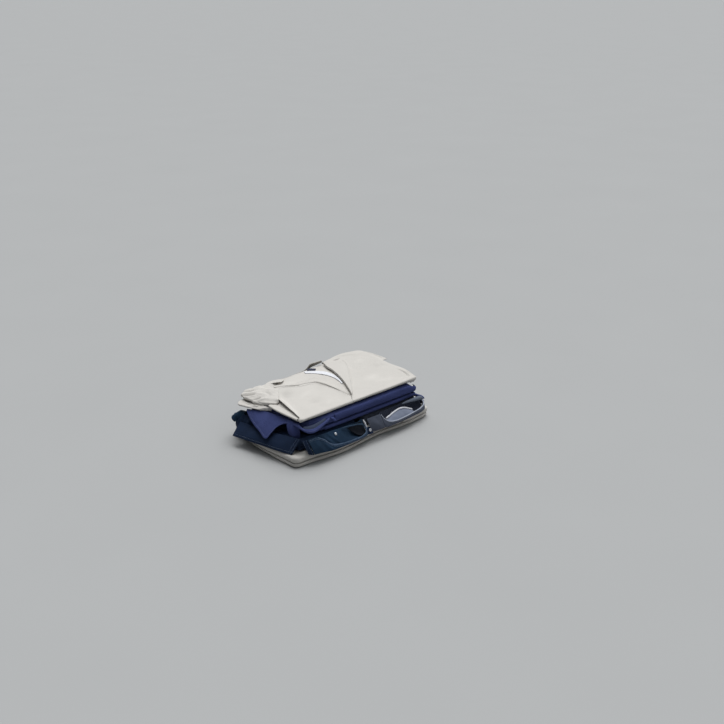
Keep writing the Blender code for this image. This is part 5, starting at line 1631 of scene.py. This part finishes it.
@dataclass
class StoneJacket:
    """The pale jacket on top, front up: crossed fronts, lapel, collar, band, sleeve and cuff."""

    plan: Plan = Plan(-203, 226, -103, 150, 10)
    bulges: tuple[Bulge, ...] = many(Bulge, (-203, 95, 50, -13), (165, 150, 70, 19), (226, -103, 32, -8),
        (-60, 150, 60, -5))
    turns: tuple[Turn, ...] = many(Turn, (0, 15, 14, 12, 12), (0.22, 8.5, 8, 6, 7), (0.45, 4, 4, 3, 3.2),
        (0.66, 1.4, 1.5, 3.5, 1.4), (0.84, 0.2, 0.3, 1.2, 0.3), (0.95, 0.9, 1, 3, 1), (1, 4, 4.5, 8, 4.5))
    armhole: tuple[Spot, ...] = many(Spot, (-169, 28), (-145, 62), (-119, 94))
    placket_foot: Spot = Spot(-25, -104)
    placket_gap: float = 2.2
    v_lift: float = 3.6
    back_swell: float = 5.5
    v_margin: float = 10.0
    v_ramp: float = 60.0
    v_fade: tuple[float, float] = (0.15, 0.85)
    v_fade_start: float = -96.0
    v_fade_ramp: float = 46.0
    swell_wide: float = 17.0
    swell_left: tuple[float, float] = (1.2, 4.4)
    swell_right: tuple[float, float] = (5.0, 18.0)
    lapel_edge: tuple[Spot, ...] = many(Spot, (1, -72), (36, -31), (56, -7), (90, 38), (119, 76), (136, 106),
        (140, 122))
    collar_left_edge: tuple[Spot, ...] = many(Spot, (-136, 130), (-122, 121), (-108, 112), (-96, 110))
    collar_left_back: tuple[Spot, ...] = many(Spot, (-126, 137), (-110, 140), (-92, 136), (-74, 125))
    band_upper: tuple[Spot, ...] = many(Spot, (5, 136), (22, 126), (38, 110), (50, 88), (51, 62), (44, 32),
        (31, 2))
    band_lower: tuple[Spot, ...] = many(Spot, (0, 124), (14, 110), (27, 92), (35, 72), (38, 50), (35, 26),
        (27, 0))
    label_near: tuple[Spot, ...] = many(Spot, (17, 137.5), (33, 121))
    label_far: tuple[Spot, ...] = many(Spot, (27, 147), (44, 130))
    hem: tuple[Drop, ...] = many(Drop, (232, 57, 112, 254, 61, 111, 0), (233, 86, 112.3, 252, 89, 111.4, 0),
        (236, 114, 112.6, 249, 117, 111.8, 0), (237, 140, 112.8, 243, 142, 112.2, 0))
    collar: tuple[Drop, ...] = many(Drop, (82, 152, 125.5, 80, 150, 121, 0),
        (60, 157, 123.5, 59, 153, 117, 0), (45, 159, 121.5, 44, 156.5, 113, 0),
        (36, 159, 114.5, 35, 157.5, 107, 0), (24, 158.5, 109, 24, 158, 101, 0),
        (4, 157, 107.8, 4, 158, 99.5, 0), (-40, 153, 107.5, -40, 154, 99, 0),
        (-84, 154, 107.5, -84, 154, 99, 0))
    sleeve_high: float = 119.4
    sleeve_puff: float = 1.6
    sleeve_droop: float = 8.0
    sleeve_turn: float = 3.0
    sleeve_tail: float = 9.0
    sleeve_start: float = 0.3
    droop_even: tuple[float, float] = (0.80, 0.20)
    droop_waves: tuple[float, float, float, float] = (2.3, 0.1, 1.1, 0.3)
    droop_corner: tuple[float, float, float, float] = (0.45, 0.55, 0.02, 0.22)
    droop_down: tuple[float, float, float] = (0.38, 0.66, 1.5)
    cuff_high: Level = Level(105.5)
    cuff_low: Level = Level(97.5)
    cuff_slope: float = 6.0
    cuff_roll: float = 2.0
    collar_left_level: Level = Level(119.4, (Swell(-110, 113, 20, 11, 4.6),))
    sleeve_seam: tuple[Spot, ...] = many(Spot, (-169.5, 28.4), (-145.5, 62.4), (-119.5, 94.4), (-114, 106),
        (-110, 112))
    sleeve_edge: tuple[Spot, ...] = many(Spot, (-172, 25), (-182, 22), (-193, 33), (-202, 48), (-209, 66),
        (-213, 87), (-217, 108), (-211, 130), (-190, 145), (-162, 147), (-138, 139))
    cuff_inner: tuple[Spot, ...] = many(Spot, (-196, 18), (-200, 26), (-203, 38), (-205, 58), (-207, 86),
        (-207, 104), (-205, 114), (-198, 120))
    cuff_edge: tuple[Spot, ...] = many(Spot, (-199, 25), (-206, 34), (-216, 47), (-225, 67), (-234, 92),
        (-238, 112), (-229, 123), (-210, 129))
    packet: Packet = field(init=False)
    inside: Packet = field(init=False)

    def __post_init__(self) -> None:
        """Set out the form under the fronts, and the hidden layers a little inside it."""
        self.packet = Packet(self.plan, self.bulges, self.turns, STONE_LOW, STONE_TOP)
        self.inside = Packet(self.plan, self.bulges, self.turns, STONE_LOW, STONE_INSIDE)

    def left_height(self, x: Array, y: Array) -> Array:
        """Middle of the left front, flat on the packet."""
        return STONE_TOP(x, y) + ROOMY + CLOTH / 2

    def right_height(self, x: Array, y: Array) -> Array:
        """Middle of the right front: lifted along the opening, less so down to the hem."""
        ease = smooth((away_from(V_RIGHT, x, y) / MM - self.v_margin) / self.v_ramp)
        least, more = self.v_fade
        fade = least + more * smooth((y / MM - self.v_fade_start) / self.v_fade_ramp)
        return self.left_height(x, y) + self.v_lift * MM * (1 - ease) * fade

    def back_height(self, x: Array, y: Array) -> Array:
        """Middle of the inner back: swelling beside the left front's edge, which it dives under."""
        left, right = beyond(V_LEFT, x, y) / MM, beyond(V_RIGHT, x, y) / MM
        swell = np.exp(-(np.maximum(left, 0.0) / self.swell_wide)**2)
        for away, (start, ramp) in ((left, self.swell_left), (right, self.swell_right)):
            swell = swell * smooth((away - start) / ramp)
        return STONE_INSIDE(x, y) + ROOMY + CLOTH / 2 + self.back_swell * MM * swell

    def front_panel(self, edge: Sequence[Spot], start: Spot, end: Spot, height: Height,
                    cell: float = 2.1 * MM) -> Array:
        """Grid of a front: ruled from the opening's edge to the rim, then round the edge and under.

        Args:
            edge: The opening's edge.
            start: Where the front starts on the ring.
            end: Where it ends.
            height: Height of its middle over the plan.
            cell: Grid spacing.

        Returns:
            The grid, its first row along the opening.
        """
        columns = self.packet.columns(start, end, cell)
        turns = len(self.turns) - 1
        rim = self.packet.rim(columns, np.linspace(1.0, 1 / turns, 5 * (turns - 1) + 1))
        turned = self.packet.moved_out(rim, ROOMY + CLOTH / 2)
        inner = drawn(edge, len(columns))[None]
        reach = np.linalg.norm(turned[0, :, :2] - inner[0], axis=-1).max()
        v = evenly(steps_for(reach, cell))[:-1, None, None]
        plan = inner + (turned[:1, :, :2] - inner) * v
        blend = v[..., 0]**3
        z = height(plan[..., 0], plan[..., 1]) * (1 - blend) + turned[:1, :, 2] * blend
        laid = np.concatenate([plan, z[..., None]], axis=-1)
        return np.concatenate([laid, turned])

    def sleeve_grid(self, rows: int, along: int) -> Array:
        """Grid of the sleeve's upper layer: flush with the front at its seam, drooping at its open end."""
        v = evenly(rows)[:, None]
        u = evenly(along)[None]
        a, b, plan = between(self.sleeve_seam, self.sleeve_edge, v[..., None], along)
        start = smooth(v / self.sleeve_start)
        high = (self.sleeve_high + self.sleeve_puff * np.sin(math.pi * v)) * MM
        z = self.left_height(plan[..., 0], plan[..., 1]) * (1 - start) + high * start
        even, swing = self.droop_even
        fast, fast_phase, slow, slow_phase = self.droop_waves
        uneven = (even + swing * np.sin(2 * math.pi * (fast * u + fast_phase))
                  * np.sin(2 * math.pi * (slow * u + slow_phase)))
        least, more, corner, ramp = self.droop_corner
        over = least + more * smooth((u - corner) / ramp)
        begin, length, power = self.droop_down
        down = smooth((v - begin) / length)**power
        z = z - self.sleeve_droop * MM * uneven * over * down
        laid = np.concatenate([plan, z[..., None]], axis=-1)
        turn = np.radians(np.linspace(60.0, -90.0, 12))[:, None]
        middle, out = laid[-1:], unit(b - a)
        bend = self.sleeve_turn * MM
        under = np.concatenate([middle[..., :2] + out * (bend * np.cos(turn)[..., None]),
                                middle[..., 2:] + (bend * (np.sin(turn) - 1.0))[..., None]], axis=-1)
        tail = under[-1:] + evenly(6)[1:, None, None] * np.concatenate(
            [-out * self.sleeve_tail * MM, np.zeros((1, along, 1))], axis=-1)
        return np.concatenate([laid[:-1], under, tail])

    def cuff_top(self, x: Array, y: Array, v: Array) -> Array:
        """Height of the cuff's upper layer."""
        return self.cuff_high(x, y) - self.cuff_slope * v * MM

    def build(self) -> None:
        """Build the jacket's pieces from the hidden layers outwards."""
        layers = Layers(((0.22, 0.7, 0.035, 0.02), (0.5, 0.9, 0.035, 0.03), (0.76, 0.6, 0.03, 0.02)),
            seed=64)
        self.inside.body("stone_body", STONE, layers, Folds(ripple=0.4, crumple=0.15, seed=65))
        self.build_back()
        self.build_fronts()
        self.build_collar()
        self.build_sleeve()

    def build_back(self) -> None:
        """Inner back with its yoke, neck band, label, hem and back fold."""
        left = [Spot(s.x - 8, s.y - 2) for s in V_LEFT[::-1]] + [Spot(-118, 116), Spot(-96, 130)]
        right = [Spot(s.x + 8, s.y) for s in V_RIGHT[:-1]] + [Spot(78, 134)]
        laid = ruled(left, right, self.back_height, 110, 150, 0.8)
        yoke = (-116, 82, 52, 82, 2.4, -1.1, 4)
        # The deep troughs behind the fronts' edges are darkened by the cloth's painted hollow shade as well
        # as by their depth.
        Sheet("stone_inner_back_cloth", laid, Folds((yoke, (-104, 96, -30, 92, 8, 0.7, 3),
            (-20, 116, 40, 98, 8, 0.6), (-70, 69, -36, 61, 3.8, -6.5), (-18, 30, -6, -66, 3.5, -3.2),
            (-114, 97, -92, 82, 3, -2)), ripple=0.35, seed=66, plan=True), held="laid").build(STONE)
        on_back = STONE_INSIDE.raised(2 * ROOMY + CLOTH * 1.5)
        Sheet("stone_neck_band_tape", ruled(self.band_lower, self.band_upper, on_back, 12, 90),
            Folds(ripple=0.12, seed=67), held="laid", rests_on="stone_inner_back",
            thick=BAND_CLOTH).build(WHITE)
        Sheet("stone_label_cloth", ruled(self.label_near, self.label_far, on_back, 9, 14), Folds(ripple=0.1,
            seed=68), held="laid", rests_on="stone_inner_back", thick=LABEL_CLOTH).build(LABEL)
        Sheet("stone_hem_cloth", draped(self.hem, 14, 46), Folds(ripple=0.25, ripple_size=40, seed=69),
            seams=(Seam(Edge.FOOT, 3), Seam(Edge.FOOT, 7)), thick=HEM).build(STONE)
        wrap = self.inside.skin((-200, 30), (-203, -88), 1, 6, 0.06, ROOMY)
        Sheet("stone_back_fold_cloth", wrap, Folds(ripple=0.35, crumple=0.1, seed=70)).build(STONE)

    def build_fronts(self) -> None:
        """The two fronts and the lapel turned back from the right one."""
        right = self.front_panel(V_RIGHT, self.placket_foot, Spot(88, 153), self.right_height)
        # Its deep short trough from (118, 141) to (142, 143) is darkened by the cloth's painted hollow
        # shade.
        Sheet("stone_front_right_cloth", right, Folds(((10, -84, 150, -60, 14, 0.9, 8),
            (60, -30, 196, 10, 16, 1, -8), (120, 60, 214, 100, 14, 0.9, 6), (20, -60, 70, -96, 9, -0.7, 4),
            (110, -95, 190, -40, 12, 0.8, 6), (118, 141, 142, 143, 2.4, -6),
            (142, 160, 222, 118, 2.2, -1.6, 4), (140, 155, 220, 113, 2.2, 1, 4),
            (208, -30, 200, -84, 3.2, -2.8, 5), (214, -34, 208, -84, 3.2, 1.6, 5),
            (219, -40, 214, -82, 2.8, -2.4, 4), (160, -88, 192, -92, 4, -1.4, 3), (28, 30, 44, 74, 8, 0.9)),
            crumple=0.08, crumple_size=34, seed=71, plan=True), seams=(Seam(Edge.TOP, 6),),
            held="laid").build(STONE)
        foot = Spot(self.placket_foot.x - self.placket_gap, self.placket_foot.y)
        left = self.front_panel(self.armhole + V_LEFT[1:], Spot(-203, -96), foot, self.left_height)
        Sheet("stone_front_left_cloth", left, Folds(((-196, -60, -60, -80, 14, 0.9, 8),
            (-170, -10, -50, 30, 16, 1, -8), (-150, 20, -110, 70, 12, -0.7, 6),
            (-110, -96, -30, -40, 12, 0.8, 6), (-160, 44, -205, -98, 10, 3.2, 4), (-74, 63, -40, 56, 5, 2.6),
            (-114, 90, -94, 79, 4, 1.4)), crumple=0.08, crumple_size=34, seed=72, plan=True),
            seams=(Seam(Edge.TOP, 6),), held="laid").build(STONE)
        root = [Spot(s.x + 1.5, s.y + 1) for s in V_RIGHT]
        lapel = ruled(root, self.lapel_edge, lambda x, y: self.right_height(x, y) + CLOTH + ROOMY, 44, 120)
        Sheet("stone_lapel_cloth", lapel, Folds(((0.1, 0.3, 0.5, 0.7, 9, 0.6, 4),
            (0.55, 0.3, 0.9, 0.7, 9, 0.6)), ripple=0.3, seed=73), hems=(Edge.FOOT,), hem_wide=4,
            hem_rise=0.3, seams=(Seam(Edge.FOOT, 4.5),), held="laid",
            rests_on="stone_front_right").build(STONE)

    def build_collar(self) -> None:
        """The collar standing at the back, its left end, and a dark sheet inside it as painted shade."""
        flap = ruled(self.collar_left_edge, self.collar_left_back, self.collar_left_level, 22, 44)
        Sheet("stone_collar_left_cloth", flap, Folds(ripple=0.4, ripple_size=30, seed=74), held="laid",
            rests_on="stone_inner_back").build(STONE)
        Sheet("stone_collar_cloth", draped(self.collar, 16, 100), Folds(((0.2, 0.1, 0.4, 0.9, 6, 0.4),),
            ripple=0.25, seed=75), seams=(Seam(Edge.TOP, 3),), held="draped").build(STONE)
        # Painted shade: a thin near-black sheet just inside the collar, where its inside falls in shadow.
        neck = [Drop(d.top_x, d.top_y - 2.4, d.top_z - 1.6, d.foot_x, d.foot_y - 2.4, d.foot_z, 0)
                for d in self.collar[:5]]
        Sheet("stone_neck_lining_cloth", draped(neck, 12, 70), Folds(ripple=0.2, seed=78), held="draped",
            rests_on="stone_collar", thick=1 * MM).build(NECK_SHADE)

    def build_sleeve(self) -> None:
        """The sleeve folded across the left end, and its cuff coming back under it."""
        Sheet("stone_sleeve_cloth", self.sleeve_grid(64, 150), Folds(((0.04, 0.5, 0.2, 0.7, 5, 2, 3),
            (0.1, 0.72, 0.34, 0.78, 3.4, -2.8, 2), (0.2, 0.42, 0.36, 0.86, 5, 2.2, -4),
            (0.34, 0.52, 0.42, 0.92, 3.4, -3.2, 2), (0.38, 0.3, 0.58, 0.56, 6, 2.4, 5),
            (0.46, 0.58, 0.52, 0.95, 4, 2.6), (0.52, 0.6, 0.6, 0.9, 3.4, -4.4, 2),
            (0.58, 0.5, 0.64, 0.95, 4, 2.8, 2), (0.66, 0.55, 0.71, 0.95, 3.4, -3),
            (0.16, 0.24, 0.44, 0.36, 6, 1.8, 4), (0.3, 0.2, 0.6, 0.24, 5, -1.6, 5),
            (0.62, 0.2, 0.8, 0.5, 6, 1.8, 4), (0.78, 0.3, 0.88, 0.9, 6, 1.8)), ripple=0.9, ripple_size=38,
            crumple=0.32, crumple_size=21, seed=76), held="draped", rests_on="stone_front_left").build(STONE)
        cuff = folded_over(self.cuff_inner, self.cuff_edge, self.cuff_top, self.cuff_low,
                           self.cuff_roll * MM, 22, 130, self.cuff_roll * MM)
        Sheet("stone_cuff_cloth", cuff, Folds(((0.15, 0, 0.22, 0.8, 4, 1.2), (0.28, 0, 0.34, 0.6, 4, -1.5),
            (0.42, 0, 0.46, 0.6, 4, 1.6), (0.52, 0, 0.58, 0.5, 3, -2), (0.35, 0.24, 0.9, 0.28, 2.6, -2.4, 2),
            (0.3, 0.36, 0.85, 0.4, 2.6, 1.8, 2), (0.6, 0, 0.95, 0.12, 3, -1.8, 2)), ripple_size=40,
            crumple=0.3, crumple_size=18, seed=77), rests_on="stone_back_fold").build(STONE)


# ---- studio

@dataclass
class Studio:
    """Pale floor, a wide soft light overhead and the camera."""

    floor_size: float = 120.0
    floor_colour: Colour = (0.405, 0.41, 0.41)
    world_low: Colour = (0.03, 0.033, 0.038)
    world_high: Colour = (0.60, 0.62, 0.64)
    sky_side: tuple[float, float, float] = (0.44, 0.06, 0.90)
    sky_from: float = -0.15
    sky_to: float = 0.95
    key_tilt: tuple[float, float, float] = (0.32, 0.22, 1.0)
    key_strength: float = 2.45
    key_angle: float = 50.0
    camera_place: tuple[float, float, float] = (-1.6257, -1.9050, 1.2)
    camera_ahead: tuple[float, float] = (0.6756, 0.7373)
    camera_pitch: float = 22.0
    lens: float = 50.0
    sensor: float = 36.0

    def floor(self) -> None:
        """Flat floor with a faint mottle."""
        half = self.floor_size / 2
        mesh = bpy.data.meshes.new("studio_floor")
        mesh.from_pydata([(-half, -half, 0), (half, -half, 0), (half, half, 0), (-half, half, 0)], [],
                         [(0, 1, 2, 3)])
        s = Shading("floor_matt")
        cloudy = s.noise(s.place(), 2.5, 3.0)
        s.put(s.shader.inputs["Base Color"], s.blend(cloudy, times(self.floor_colour, 0.96),
                                                     rgba(self.floor_colour)))
        s.shader.inputs["Roughness"].default_value = 0.9
        s.shader.inputs["Specular IOR Level"].default_value = 0.1
        mesh.materials.append(s.material)
        floor = bpy.data.objects.new("studio_floor", mesh)
        bpy.context.scene.collection.objects.link(floor)

    def air(self) -> None:
        """World light that brightens smoothly from low in front to high behind."""
        world = bpy.data.worlds.new("studio_air")
        world.use_nodes = True
        tree = world.node_tree
        facing = tree.nodes.new("ShaderNodeVectorMath")
        facing.operation = "DOT_PRODUCT"
        facing.inputs[1].default_value = self.sky_side
        tree.links.new(tree.nodes.new("ShaderNodeTexCoord").outputs["Generated"], facing.inputs[0])
        rise = tree.nodes.new("ShaderNodeMapRange")
        rise.interpolation_type = "SMOOTHSTEP"
        rise.inputs["From Min"].default_value = self.sky_from
        rise.inputs["From Max"].default_value = self.sky_to
        tree.links.new(facing.outputs["Value"], rise.inputs["Value"])
        blend = tree.nodes.new("ShaderNodeMix")
        blend.data_type = "RGBA"
        blend.inputs[6].default_value = rgba(self.world_low)
        blend.inputs[7].default_value = rgba(self.world_high)
        tree.links.new(rise.outputs["Result"], blend.inputs[0])
        tree.links.new(blend.outputs[2], tree.nodes["Background"].inputs["Color"])
        bpy.context.scene.world = world

    def build(self) -> None:
        """Add the floor, the lights and the camera."""
        self.floor()
        self.air()
        bpy.context.scene.view_settings.view_transform = "Standard"
        lamp = bpy.data.lights.new("key_light", "SUN")
        lamp.energy = self.key_strength
        lamp.angle = math.radians(self.key_angle)
        key = bpy.data.objects.new("key_light", lamp)
        key.location = (0.0, 0.0, 3.0)
        key.rotation_euler = (-Vector(self.key_tilt)).to_track_quat("-Z", "Y").to_euler()
        bpy.context.scene.collection.objects.link(key)
        view = bpy.data.cameras.new("camera")
        view.lens = self.lens
        view.sensor_width = self.sensor
        eye = bpy.data.objects.new("camera", view)
        eye.location = self.camera_place
        pitch = math.radians(self.camera_pitch)
        ahead = Vector((*self.camera_ahead, -math.tan(pitch)))
        eye.rotation_euler = ahead.to_track_quat("-Z", "Y").to_euler()
        bpy.context.scene.collection.objects.link(eye)
        bpy.context.scene.camera = eye


def main() -> None:
    """Dress the pile from the floor up, then set up the studio."""
    logging.basicConfig(level=logging.INFO, format="%(name)s: %(message)s")
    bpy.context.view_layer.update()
    StoneCoat().build()
    PetrolJacket().build()
    SlateJacket().build()
    NavyJacket().build()
    StoneJacket().build()
    Studio().build()


if __name__ == "__main__":
    main()
